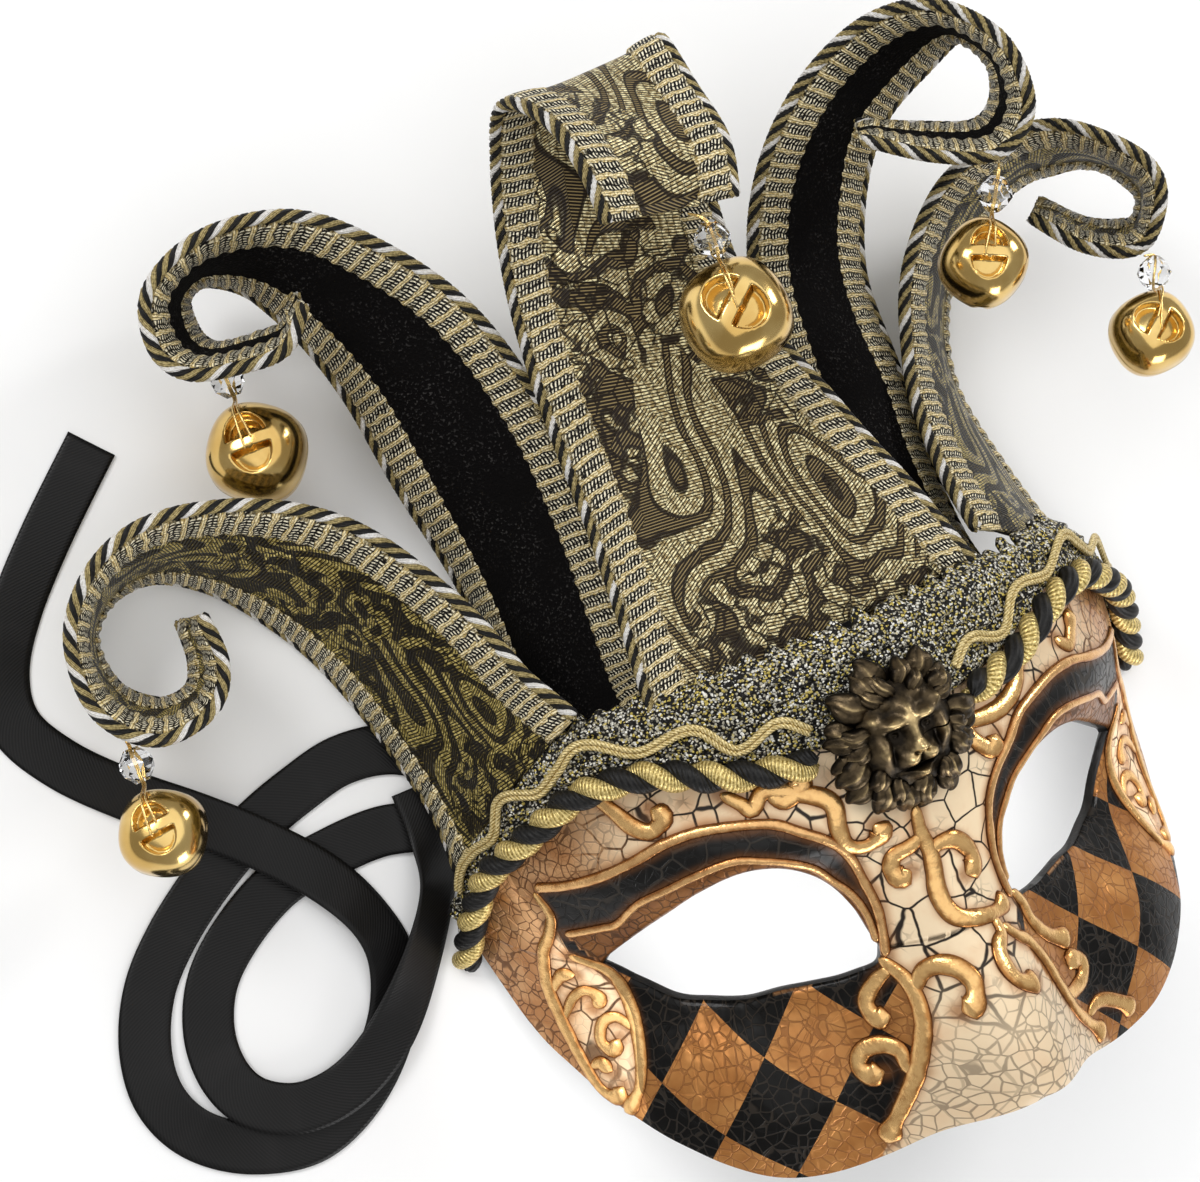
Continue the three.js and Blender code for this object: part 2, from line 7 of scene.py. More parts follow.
import logging
import math
from dataclasses import dataclass, field
from enum import Enum
from typing import Optional, Sequence, Union

import bpy
import numpy as np
from mathutils import Matrix, Vector


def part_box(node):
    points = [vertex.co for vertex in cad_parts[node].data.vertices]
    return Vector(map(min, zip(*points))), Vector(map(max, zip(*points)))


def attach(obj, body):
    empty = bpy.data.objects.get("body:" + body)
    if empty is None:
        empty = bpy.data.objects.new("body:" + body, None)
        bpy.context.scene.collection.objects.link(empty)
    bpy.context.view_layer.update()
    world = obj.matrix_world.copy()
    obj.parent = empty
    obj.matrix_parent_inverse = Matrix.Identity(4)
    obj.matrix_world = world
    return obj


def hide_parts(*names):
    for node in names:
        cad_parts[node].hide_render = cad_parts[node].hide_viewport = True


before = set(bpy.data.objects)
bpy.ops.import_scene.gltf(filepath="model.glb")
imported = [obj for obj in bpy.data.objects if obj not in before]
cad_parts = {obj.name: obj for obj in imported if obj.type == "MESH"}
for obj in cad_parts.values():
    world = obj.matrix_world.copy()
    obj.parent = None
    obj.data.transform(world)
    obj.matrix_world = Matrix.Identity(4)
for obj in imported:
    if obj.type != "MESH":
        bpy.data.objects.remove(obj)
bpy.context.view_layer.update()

LOG = logging.getLogger("jester_mask")
Array = np.ndarray
Colour = tuple[float, float, float]
Rows = Sequence[Sequence[float]]

LOWER_EDGE: Rows = (
    (0, 7), (9, 4), (18, -0.5), (27, -1.5), (35, 1), (45, 10), (51, 15.5),
    (58, 22), (64, 28.5), (68, 34), (71, 40), (74, 48), (77.5, 55),
)
UPPER_EDGE: Rows = (
    (0, 95.5), (20, 95), (30, 93.5), (40, 93), (46, 91.5), (52, 86.5), (60, 79), (68, 71.5),
    (74, 64), (77.5, 62),
)
ROPE_LINE: Rows = (
    (0, 79), (10, 79), (21, 81), (34, 86), (44, 85), (49, 81.5), (56, 76.5), (63, 71),
    (70, 61), (76, 51),
)
NOSE: Rows = (
    (-12, 38, 13), (0, 80, 12.5), (10, 100, 11), (25, 72, 10.2), (40, 38, 9), (55, 19, 11.5),
    (70, 10, 14), (97, 6, 14),
)
EYE: Rows = (
    (10.4, 38.8, 38.9), (11, 36.5, 41.5), (12, 35.5, 47), (14, 35, 53), (17, 34.5, 58),
    (21, 34.5, 61.5), (26, 34.5, 62.5), (32, 34, 60.5), (38, 35, 57), (44, 37, 53.5),
    (49, 42, 50.5), (51.5, 45.6, 48.9), (52.8, 47.4, 47.5),
)
BROW_LINE: Rows = (
    (57, 67), (51, 67), (45, 68), (39, 70), (34, 72), (28, 72.5), (20, 70.5), (16, 67),
    (13, 63.5), (11, 59), (10, 53), (9.3, 47), (9.6, 41), (10.2, 37),
)
LID_LINE: Rows = (
    (55.5, 56), (49, 56.5), (46, 57), (41, 61), (36, 63), (32, 64.5), (28, 65.5), (25, 65.5),
    (22, 64), (19, 62), (16, 59), (14, 55), (12, 51), (10.8, 46), (10.6, 40),
)
# Height, degrees round: the sides of the cream nose, and of the temple's panel
STEM_SIDE: Rows = (
    (-3, 20), (2.5, 17.7), (9, 14.4), (15, 11.7), (20, 9.9), (25, 8.8), (29, 8.5), (33, 9.1),
    (36, 11), (40, 11),
)
PANEL_INNER: Rows = (
    (15, 56), (19, 53.5), (23, 51.4), (27, 50.6), (33, 50.7), (38, 51.2), (44, 51.6),
    (47, 53), (50, 56), (60, 57),
)
PANEL_OUTER: Rows = (
    (15, 53), (19.5, 55), (22, 58.3), (29, 61), (37, 62.6), (44, 63.1), (52, 61), (60, 58),
)

# Rows up each point of the crown, from its foot to its tip: middle x, y, z as percentages of
# the face's half width, height and depth, the direction across it, and its width.
POINTS: dict[str, Rows] = {
    "far_left": (
        (-83, 85, 54, -44, -68, -58, 67), (-85, 97, 41, -37, -69, -62, 59),
        (-91, 114, 31, -33, -71, -62, 54), (-102, 131, 22, -24, -73, -64, 49),
        (-118, 143, 17, -14, -63, -76, 44), (-136, 149, 15, 6, -56, -83, 38),
        (-151, 147, 14, 17, -44, -88, 35), (-161, 139, 15, 29, -27, -92, 31),
        (-161, 127, 19, 38, -4, -92, 28), (-152, 120, 22, 29, 13, -95, 26),
        (-141, 121, 24, 0, 11, -99, 23), (-136, 127, 23, -19, -2, -98, 21),
        (-136, 136, 21, -17, -14, -97, 19),
    ),
    "left": (
        (-63.7, 82, 67.2, -48, -27, -82, 50), (-57, 92, 47, -48, -27, -82, 50),
        (-54, 109, 36, -50, -28, -80, 49), (-53, 127, 26, -66, -26, -71, 47),
        (-56, 148, 20, -82, -32, -49, 45), (-62, 167, 17, -75, -42, -51, 42),
        (-73, 183, 14, -57, -48, -67, 38), (-85, 193, 13, -32, -51, -80, 36),
        (-101, 197, 11, 7, -44, -90, 33), (-112, 193, 10, 43, -29, -85, 31),
        (-114, 185, 11, 59, -13, -79, 28), (-110, 180, 15, 60, 2, -80, 26),
        (-100, 179, 21, 55, 14, -82, 23), (-91, 180, 28, 38, 16, -91, 22),
        (-86, 186, 30, 19, 8, -98, 21),
    ),
    "centre": (
        (-6, 98, 90, -100, 0, -5, 92), (-7, 115, 76, -99, 5, -16, 81),
        (-8, 130, 62, -98, 7, -18, 72), (-10, 146, 51, -97, 15, -17, 64),
        (-10, 162, 42, -97, 20, -15, 59), (-9, 178, 40, -94, 26, -23, 55),
        (-7, 195, 44, -96, 18, -22, 51), (-7, 208, 52, -100, -5, 4, 46),
        (-6, 201, 69, -98, 18, 7, 42), (-6.5, 192, 82, -95, 12, 12, 40),
        (-8, 182, 86, -90, 0, 20, 38),
    ),
    "right": (
        (39.2, 87.1, 82.3, -87, 15, 43, 48), (36, 95, 62, -87, 15, 43, 48),
        (38, 115, 49, -85, 31, 42, 44), (41, 134, 36, -87, 41, 25, 41),
        (44, 154, 26, -87, 44, 23, 38), (53, 171, 24, -88, 41, 25, 36),
        (64, 184, 31, -82, 49, 29, 33), (78, 192, 42, -70, 58, 43, 32),
        (88, 194, 53, -54, 46, 71, 29), (95, 186, 62, -29, 30, 91, 27),
        (94, 176, 64, -15, -5, 99, 26), (86, 171, 62, -23, -29, 93, 23),
        (73, 174, 56, -38, -29, 88, 21), (58, 180, 50, -44, -12, 89, 18),
    ),
    "far_right": (
        (67, 91, 63, -65, 30, 70, 58), (68, 106, 41, -65, 33, 69, 51),
        (71, 124, 22.3, -58, 29, 76, 46), (79, 141, 16.4, -59, 35, 73, 42),
        (93, 154, 18, -59, 45, 67, 38), (105, 160, 26, -54, 47, 69, 36),
        (116, 161, 34, -39, 52, 76, 33), (127, 157, 41, -31, 34, 89, 31),
        (133, 150, 47, -26, 29, 92, 28), (132, 144, 48, -32, 9, 94, 26),
        (126, 140, 46, -46, -18, 87, 23), (116, 143, 40, -56, -16, 82, 21),
        (107, 151, 33, -61, -6, 79, 19),
    ),
}

# Point: its row and edge where the bell hangs, from there to the bead, bead to bell, its size
BELLS: dict[str, tuple[float, float, Colour, Colour, float]] = {
    "far_left": (8.5, -1, (0.5, -6.3, -0.7), (-0.4, -15.5, 4.4), 0.94),
    "left": (11, 1, (-1.5, -6.1, 3.4), (0, -15.2, 3.2), 1.1),
    "centre": (10, -0.2, (2.6, -6.8, 2.6), (1.3, -15.2, -3.3), 1.17),
    "right": (11, 1, (-3.2, -6.4, 0.1), (-4.7, -12.7, -3.8), 0.96),
    "far_right": (10, 1, (0.4, -4.9, 2), (-7.4, -10, 5.5), 0.93),
}

# Degrees that each bell's recesses are turned about its crown
BELL_SPINS = {"far_left": 8.0, "left": 0.0, "centre": 45.0, "right": 5.0, "far_right": 70.0}

# Raised scrolls on the enamel: (degrees round, height) along each, with its widest half width
SCROLLS: Sequence[tuple[float, Rows]] = (
    (1.5, ((-11.1, 37), (-9.1, 33.1), (-8.5, 29.4), (-8.8, 24.9), (-9.9, 20.3),
           (-11.7, 14.8), (-14.4, 9), (-16.9, 4.4), (-17.9, 1.8))),
    (1.3, ((-10, 35), (-12.6, 32.7), (-14.6, 29.5), (-14.1, 26.5), (-12.2, 26.1))),
    (1.4, ((-11, 15.5), (-12.4, 16.4), (-12.6, 19.6), (-14.5, 21.2), (-17.1, 20.8),
           (-18.4, 18.2), (-17.3, 16.1), (-15.3, 16))),
    (1.5, ((-9, 29), (-7.7, 31.7), (-6.6, 33.5), (-4.8, 34.2), (-3, 33), (-2.1, 30),
           (-3.1, 26.6), (-4.6, 25.5))),
    (1.4, ((-0.7, 64), (-1, 59), (-0.6, 54.6), (-0.9, 51), (-1.5, 47), (-1.3, 43.5),
           (-0.2, 41), (2.8, 39.1), (6.2, 37.8), (8.9, 38.6))),
    (1.3, ((-0.7, 58), (-2.9, 56.8), (-5.3, 56.1), (-6.1, 54), (-5.4, 51.7), (-3.8, 52.2))),
    (1.4, ((-0.6, 53.5), (0.8, 55), (3.4, 54.2), (5.1, 50.8), (4.7, 48), (3.2, 47.3))),
    (1.4, ((4.6, 38), (4.6, 34.6), (3, 33.1), (2.5, 30.5), (2.9, 27.7), (4.2, 25.4), (6.5, 23.8))),
    (1.4, ((5.4, 35.5), (7.5, 31.5), (9.2, 28.9), (10.7, 23.3), (11.3, 18), (12.7, 11.8),
           (15.5, 6), (17.9, 1.8))),
    (1.3, ((10.8, 38), (12.1, 34.6), (12.3, 30.5), (14.6, 25.8), (18.5, 22.3))),
    (1.3, ((11.4, 16.1), (14, 14.5), (17.2, 14.7), (18.6, 17.2), (16.9, 19), (15.4, 18))),
    (1.2, ((15.5, 8), (19.2, 8.4), (23, 5.3), (26, 1.1))),
    (1.3, ((-43, 84), (-40.5, 80), (-38.2, 76.2), (-35.7, 74.6), (-33.6, 76.6), (-35, 78.6))),
    (1.4, ((-25, 78), (-22.7, 75.3), (-21.4, 73.6), (-18.9, 76.1), (-13.4, 72.9),
           (-11.1, 70.1), (-11.4, 65.6), (-10.9, 61.6), (-8.5, 60), (-6.2, 61.5), (-6.8, 63.6))),
    (1.3, ((-18.9, 76.1), (-17, 73.4), (-14.2, 75.2), (-15.2, 78))),
    (1.4, ((8, 76), (10.6, 73.9), (14.3, 72.8), (17.7, 72.9), (21.2, 74.6), (24, 78),
           (27.5, 81))),
    (1.2, ((10.6, 73.9), (10.8, 70), (12.6, 67.2), (14.4, 69))),
    (1.3, ((33.4, 77.3), (35.7, 74.6), (38.2, 76.2), (40.5, 80))),
)
TEMPLE_SCROLLS: Sequence[tuple[float, Rows]] = (
    (1.6, ((57.5, 66), (56.3, 60.8), (58.5, 56), (61, 52.3), (63.1, 44.9), (62.8, 37.2),
           (61, 29.4), (58.3, 23), (55.5, 21.2), (54, 23))),
    (1.5, ((57, 51), (54.7, 48.9), (52.6, 46.6), (51.6, 43.6), (51, 37.9), (50.6, 32.6),
           (50.5, 27.1), (51.2, 22.7), (53, 19.6), (54.6, 18.2))),
    (1.3, ((51, 33), (53.6, 36), (56, 35.4), (56.8, 32), (55, 30), (53.6, 31.8))),
    (1.2, ((62.4, 37), (59.8, 41.2), (57.2, 42.6), (55.4, 40.4), (56.7, 38.6))),
    (1.1, ((62.9, 43), (60, 46.6), (57.6, 46.4))),
    (1.1, ((59.5, 27), (57.6, 27.8), (55.6, 26))),
)

# Routes of the ribbons as in the part: x and y as percentages, height of the middle, lean
RIBBON_NEAR: Rows = (
    (-87.2, 57, 3, 0), (-82.1, 70, 0.5, 0), (-84.6, 82, 0.5, 0), (-96.2, 90, 0.5, 0),
    (-110.3, 92.5, 0.5, 0), (-124.4, 90.5, 0.5, 0), (-138.5, 87, 0.5, 0),
    (-152.6, 81.5, 0.5, 0), (-166.7, 74, 0.5, 0), (-176.9, 66, 0.5, 0), (-183.3, 56, 0.8, 5),
    (-184.6, 46, 1.2, 8), (-179.5, 37, 1.2, 8), (-167.9, 30, 0.6, 0), (-152.6, 27, 0.5, 0),
    (-137.2, 31.5, 0.5, 0), (-124.4, 41, 0.7, 0), (-118.6, 52, 1.6, 12),
    (-119.9, 62, 2.6, 22), (-126.9, 73, 3, 10), (-138.5, 84, 2.8, 0), (-150, 93, 2, 0),
    (-164.1, 103, 0.7, 0), (-175.6, 113, 0.5, 0), (-182.1, 123, 0.5, 0),
    (-180.1, 133, 0.8, 8), (-171.8, 143, 0.6, 4), (-157.7, 154.5, 0.5, 0),
    (-138.5, 168, 0.5, 0),
)
RIBBON_FAR: Rows = (
    (84.6, 56, 3, 0), (64.1, 68, 0.6, 0), (32.1, 80, 0.5, 0), (-6.4, 84, 0.5, 0),
    (-44.9, 81, 0.5, 0), (-66.7, 77, 1.4, 0), (-80.8, 74.5, 1.8, 0), (-94.9, 74, 1.3, 0),
    (-109, 76.5, 0.5, 0), (-123.1, 76.5, 0.5, 0), (-137.2, 75, 0.5, 0), (-150.6, 70, 0.5, 0),
    (-161.5, 63, 0.5, 0), (-167.3, 54, 0.5, 0), (-167.9, 45, 1.2, 0), (-163.5, 38, 2, 0),
    (-153.2, 33.5, 2.4, 0), (-139.7, 34, 2.6, 0), (-125.6, 40, 3.6, 8), (-111.5, 51, 4, 30),
    (-101.3, 62, 4, 35), (-96.8, 72, 2.6, 8), (-96.2, 82, 1.7, 0),
)


def unit(vectors: Array) -> Array:
    """Vectors divided by their lengths."""
    return vectors / np.maximum(np.linalg.norm(vectors, axis=-1, keepdims=True), 1e-12)


def gone_along(path: Array) -> Array:
    """Distances along a path to each of its points."""
    return np.concatenate([[0], np.cumsum(np.linalg.norm(np.diff(path, axis=0), axis=1))])


def first_only(values: Array) -> Array:
    """A tint whose first value is given on each place, and the others 0."""
    blank = np.zeros_like(values)
    return np.stack([values, blank, blank, blank], axis=-1)


def look_up(rows: Rows, key: Array, column: int = 1) -> Array:
    """A table's column at keys, by cubic Hermite steps with central slopes.

    Args:
        rows: the table, with its keys in column 0, rising.
        key: where to read it; past the ends the end rows hold.
        column: the column that is read.

    Returns:
        The values, shaped as key.
    """
    table = np.array([[row[0], row[column]] for row in rows], float)
    x, y = table.T
    k = np.clip(np.asarray(key, float), x[0], x[-1])
    i = np.clip(np.searchsorted(x, k, side="right") - 1, 0, len(x) - 2)
    slope = np.empty_like(x)
    slope[1:-1] = (y[2:] - y[:-2]) / (x[2:] - x[:-2])
    slope[0] = (y[1] - y[0]) / (x[1] - x[0])
    slope[-1] = (y[-1] - y[-2]) / (x[-1] - x[-2])
    span = x[i + 1] - x[i]
    t = (k - x[i]) / span
    rise = y[i + 1] - y[i]
    bend = (1 - t) * slope[i] * span - t * slope[i + 1] * span
    return y[i] + t * rise + t * (1 - t) * (bend + rise * (2 * t - 1))


def rows_at(rows: Rows, at: Array) -> Array:
    """All columns of a table at row numbers, by uniform Catmull-Rom between its rows.

    Args:
        rows: the table.
        at: row numbers, whole or between rows.

    Returns:
        An array with one line of columns per number.
    """
    table = np.array(rows, float)
    last = len(table) - 1
    i = np.minimum(np.floor(at).astype(int), last - 1)
    t = (at - i)[:, None]
    a, b, c, d = (table[np.clip(i + k, 0, last)] for k in (-1, 0, 1, 2))
    square = 2 * a - 5 * b + 4 * c - d
    cube = 3 * b - a - 3 * c + d
    return b + 0.5 * t * (c - a + t * (square + t * cube))


def smooth_line(rows: Rows, step: float) -> Array:
    """Points at even distances along the Catmull-Rom line through a table's rows.

    Args:
        rows: the line's corner points.
        step: the distance between two results, roughly.

    Returns:
        The points, one line each.
    """
    dense = rows_at(rows, np.linspace(0, len(rows) - 1, 24 * len(rows)))
    gone = gone_along(dense)
    even = np.linspace(0, gone[-1], max(int(gone[-1] / step), 6))
    return np.stack([np.interp(even, gone, column) for column in dense.T], axis=1)


def ripple(points: Array, size: float, seed: int) -> Array:
    """A smooth unevenness from -1 to 1: a mean of five sine waves in seeded directions.

    Args:
        points: places, in any unit.
        size: the length of a wave in that unit.
        seed: which directions and starts.

    Returns:
        One value per place.
    """
    rng = np.random.default_rng(seed)
    ways = unit(rng.normal(size=(5, points.shape[-1])))
    starts = rng.uniform(0, 2 * math.pi, 5)
    stretch = rng.uniform(0.7, 1.5, 5)
    return np.sin(2 * math.pi * (points @ ways.T) * stretch / size + starts).mean(-1)


@dataclass(frozen=True)
class FaceForm:
    """The plain oval of the face with its relief, and how it leans on the floor."""

    half_width: float = 78.0
    height: float = 100.0
    depth: float = 70.0
    lean: float = 12.5
    turn: float = 77.5
    wall: float = 2.5
    nose: float = 21.0
    brow: float = 4.0
    socket: float = 9.0
    cheek: float = 3.0

    @property
    def sizes(self) -> Array:
        """The three sizes that tables hold percentages of."""
        return np.array([self.half_width, self.height, self.depth])

    @property
    def per_degree(self) -> float:
        """Millimetres round the face for a degree."""
        return math.radians(1) * (self.half_width + self.depth) / 2

    def relief(self, turn: Array, height: Array) -> Array:
        """How far the face stands out of its oval: Gaussian hills for nose, brow, cheek, eye.

        Args:
            turn: degrees round the face.
            height: height up it.

        Returns:
            Millimetres outward.
        """
        side = np.abs(turn)

        def hill(x: Array, middle: float, breadth: Union[float, Array]) -> Array:
            """One Gaussian hill."""
            return np.exp(-(((x - middle) / breadth) ** 2))

        nose = self.nose * look_up(NOSE, height, 1) / 100
        return (
            nose * hill(turn, 0, look_up(NOSE, height, 2))
            + self.brow * hill(height, 66, 9) * hill(side, 24, 26)
            - self.socket * hill(height, 40, 14) * hill(side, 38, 20)
            + self.cheek * hill(height, 10, 14) * hill(side, 40, 22)
        )

    def at(self, turn: Array, height: Array, out: Union[float, Array] = 0.0) -> Array:
        """Places on the face: the oval widened by its relief and a distance outward.

        Args:
            turn: degrees round the face.
            height: height up it.
            out: millimetres outward.

        Returns:
            Points in the face frame.
        """
        turn, height = np.broadcast_arrays(np.asarray(turn, float), np.asarray(height, float))
        rise = self.relief(turn, height) + out
        a = np.radians(turn)
        return np.stack(
            [
                (self.half_width + rise) * np.sin(a),
                height * self.height / 100,
                (self.depth + rise) * np.cos(a),
            ],
            axis=-1,
        )

    def normal(self, turn: Array, height: Array) -> Array:
        """Outward directions, from the surface's two slopes."""
        step = 0.2
        across = self.at(turn + step, height) - self.at(turn - step, height)
        up = self.at(turn, height + step) - self.at(turn, height - step)
        return unit(np.cross(across, up))

    def leaned(self, points: Array) -> Array:
        """Points turned about X by the lean."""
        c, s = math.cos(math.radians(self.lean)), math.sin(math.radians(self.lean))
        x, y, z = np.moveaxis(np.asarray(points, float), -1, 0)
        return np.stack([x, y * c - z * s, y * s + z * c], axis=-1)

    def offset(self) -> Array:
        """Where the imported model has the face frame's origin, from the shell's lowest corner."""
        turn = np.linspace(-self.turn, self.turn, 29)[:, None]
        low, high = look_up(LOWER_EDGE, np.abs(turn)), look_up(UPPER_EDGE, np.abs(turn))
        height = low + (high - low) * np.linspace(0, 1, 11)
        rim = np.concatenate([self.at(turn, height), self.at(turn, height, -self.wall)])
        corner = self.leaned(rim).reshape(-1, 3).min(0)
        return np.array(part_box("mask_shell")[0]) * 1000 - corner

    def place(self, points: Array) -> Array:
        """Points of the face frame in the row frame, in millimetres."""
        return self.leaned(points) + self.offset()


FACE = FaceForm()


@dataclass
class Patch:
    """Faces over a grid of places, with UVs, a tint and one material slot.

    A triangle has -1 as its last corner.
    """

    points: Array
    faces: Array
    uv: Array
    slot: int = 0
    tint: Optional[Array] = None

    def volume(self) -> float:
        """Six times the volume that the faces close."""
        p = self.points
        f = np.where(self.faces < 0, self.faces[:, [2]], self.faces)
        a, b, c, d = (p[f[:, k]] for k in range(4))
        first = np.einsum("ij,ij->i", a, np.cross(b, c)).sum()
        return float(first + np.einsum("ij,ij->i", a, np.cross(c, d)).sum())

    def flipped(self) -> "Patch":
        """The patch with every face turned over."""
        quad = self.faces[:, 3] >= 0
        faces, uv = self.faces[:, ::-1].copy(), self.uv[:, ::-1].copy()
        faces[~quad] = self.faces[~quad][:, [2, 1, 0, 3]]
        uv[~quad] = self.uv[~quad][:, [2, 1, 0, 3]]
        return Patch(self.points, faces, uv, self.slot, self.tint)


def grid(
    points: Array,
    u: Array,
    v: Array,
    closed: bool = False,
    capped: bool = False,
    slot: int = 0,
    tint: Optional[Array] = None,
) -> Patch:
    """Faces between neighbours of a grid of places.

    Args:
        points: rows by columns by three.
        u: UV across, one more column than the places have where closed.
        v: UV along, shaped as u or broadcast to it.
        closed: joins the last column to the first.
        capped: closes both end rows on their middles, as a closed solid facing outwards.
        slot: the material slot.
        tint: rows by columns by four values kept on the places.

    Returns:
        The patch.
    """
    rows, columns = points.shape[:2]
    span = columns if closed else columns - 1
    shape = (rows, span + 1)
    u, v = np.broadcast_to(u, shape), np.broadcast_to(v, shape)
    i, j = (x.ravel() for x in np.meshgrid(np.arange(rows - 1), np.arange(span), indexing="ij"))
    k = (j + 1) % columns
    base = i * columns
    faces = np.stack([base + j, base + k, base + columns + k, base + columns + j], axis=1)
    corners = ((i, j), (i, j + 1), (i + 1, j + 1), (i + 1, j))
    uv = np.stack([np.stack([u[c], v[c]], axis=-1) for c in corners], axis=1)
    verts = points.reshape(-1, 3)
    tints = None if tint is None else tint.reshape(-1, 4)
    if capped:
        for row in (0, rows - 1):
            ring = row * columns + np.arange(columns)
            following = row * columns + (np.arange(columns) + 1) % columns
            hub = np.full(columns, len(verts))
            fan = [following, ring, hub] if row == 0 else [ring, following, hub]
            faces = np.concatenate([faces, np.stack([*fan, np.full(columns, -1)], axis=1)])
            spot = np.stack([u[row, :columns], v[row, :columns]], axis=-1)
            uv = np.concatenate([uv, np.repeat(spot[:, None], 4, axis=1)])
            verts = np.concatenate([verts, points[row].mean(0)[None]])
            if tints is not None:
                tints = np.concatenate([tints, tint[row].mean(0)[None]])
    made = Patch(verts, faces, uv, slot, tints)
    return made.flipped() if capped and made.volume() < 0 else made


def frames_along(path: Array, up: Array) -> tuple[Array, Array, Array]:
    """Directions along, across and outward on a path whose outward side is roughly given.

    Args:
        path: points along it.
        up: a direction for each, roughly outward.

    Returns:
        Unit vectors along, across and outward.
    """
    along = unit(np.gradient(path, axis=0))
    across = unit(np.cross(along, up))
    return along, across, np.cross(across, along)


def sweep(path: Array, up: Array, profile: Array, slot: int = 0,
          tint: Optional[Array] = None) -> Patch:
    """A closed solid: a profile carried along a path, across it and outward.

    Args:
        path: points along it, in millimetres.
        up: a direction for each, roughly outward.
        profile: points along by points round by (across, outward), in millimetres.
        slot: the material slot.
        tint: four values on each place.

    Returns:
        The patch, with U round it from 0 to 1 and V in millimetres along it.
    """
    _, across, outward = frames_along(path, up)
    places = (
        path[:, None]
        + profile[..., :1] * across[:, None]
        + profile[..., 1:] * outward[:, None]
    )
    u = np.linspace(0, 1, profile.shape[1] + 1)[None]
    v = gone_along(path)[:, None]
    return grid(places, u, v, closed=True, capped=True, slot=slot, tint=tint)


def circle(sides: int, radius: Array) -> Array:
    """A round profile for every radius: (cosine, sine) times it."""
    a = np.linspace(0, 2 * math.pi, sides, endpoint=False)
    ring = np.stack([np.cos(a), np.sin(a)], axis=-1)
    return np.asarray(radius, float).reshape(-1, 1, 1) * ring


def strands(path: Array, up: Array, count: int, pitch: float, orbit: float, radius: float,
            slots: Sequence[int], sides: int = 8, start: float = 0.0, hand: int = 1
            ) -> list[Patch]:
    """A twisted cord: round strands on helices about a path.

    Args:
        path: the cord's middle.
        up: a direction for each point, roughly outward.
        count: how many strands.
        pitch: the cord's length for a turn.
        orbit: from the cord's middle to a strand's.
        radius: of a strand.
        slots: each strand's material slot.
        sides: faces round a strand.
        start: turns at the start.
        hand: 1 or -1, the way that it twists.

    Returns:
        One patch per strand.
    """
    gone = gone_along(path)
    _, across, outward = frames_along(path, up)
    thin = np.clip(np.minimum(gone, gone[-1] - gone) / radius, 0.15, 1) ** 0.5
    made = []
    for number in range(count):
        a = 2 * math.pi * (hand * gone / pitch + start + number / count)
        away = np.cos(a)[:, None] * across + np.sin(a)[:, None] * outward
        made.append(sweep(path + orbit * away, away, circle(sides, radius * thin),
                          slots[number % len(slots)]))
    return made


def assemble(name: str, patches: Sequence[Patch], materials: Sequence[bpy.types.Material],
             weld: bool = False, sharp: float = 180.0) -> bpy.types.Object:
    """One mesh object from patches, smooth shaded.

    Args:
        name: the piece's name.
        patches: in millimetres, in the row frame.
        materials: the material slots.
        weld: joins places that coincide and drops faces that this closes.
        sharp: degrees between faces from which an edge stays sharp.

    Returns:
        The object, at the origin, riding on the root body.
    """
    firsts = np.cumsum([0] + [len(p.points) for p in patches])
    points = np.concatenate([p.points for p in patches])
    faces = np.concatenate([np.where(p.faces < 0, -1, p.faces + f)
                            for p, f in zip(patches, firsts)])
    uv = np.concatenate([p.uv for p in patches])
    slots = np.concatenate([np.full(len(p.faces), p.slot) for p in patches])
    blank = np.zeros((1, 4))
    tint = np.concatenate([blank.repeat(len(p.points), 0) if p.tint is None else p.tint
                           for p in patches])
    if weld:
        _, first, which = np.unique(np.round(points, 3), axis=0, return_index=True,
                                    return_inverse=True)
        points, tint = points[first], tint[first]
        faces = np.where(faces < 0, -1, which.ravel()[faces])
        for k in range(4):
            same = (faces[:, k] == faces[:, (k + 1) % 4]) & (faces[:, 3] >= 0)
            faces[same] = np.concatenate([np.delete(faces[same], k, 1),
                                          np.full((same.sum(), 1), -1)], axis=1)
            uv[same] = np.delete(uv[same], k, 1)[:, [0, 1, 2, 2]]
        a, b, c = faces[:, 0], faces[:, 1], faces[:, 2]
        keep = (a != b) & (b != c) & (c != a)
        faces, uv, slots = faces[keep], uv[keep], slots[keep]
    real = faces >= 0
    sizes = real.sum(1)
    mesh = bpy.data.meshes.new(name)
    mesh.vertices.add(len(points))
    mesh.vertices.foreach_set("co", (points / 1000).astype(np.float32).ravel())
    mesh.loops.add(int(sizes.sum()))
    mesh.loops.foreach_set("vertex_index", faces[real].astype(np.int32))
    mesh.polygons.add(len(faces))
    starts = np.concatenate([[0], np.cumsum(sizes)[:-1]]).astype(np.int32)
    mesh.polygons.foreach_set("loop_start", starts)
    mesh.polygons.foreach_set("material_index", slots.astype(np.int32))
    mesh.uv_layers.new(name="map").data.foreach_set("uv", uv[real].astype(np.float32).ravel())
    layer = mesh.attributes.new("tint", "FLOAT_COLOR", "POINT")
    layer.data.foreach_set("color", tint.astype(np.float32).ravel())
    mesh.update(calc_edges=True)
    mesh.validate()
    mesh.shade_smooth()
    if sharp < 180:
        mesh.set_sharp_from_angle(angle=math.radians(sharp))
    for material in materials:
        mesh.materials.append(material)
    made = bpy.data.objects.new(name, mesh)
    bpy.context.scene.collection.objects.link(made)
    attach(made, "root")
    LOG.info("%s: %d faces", name, len(faces))
    return made


Operand = Union["Value", float]


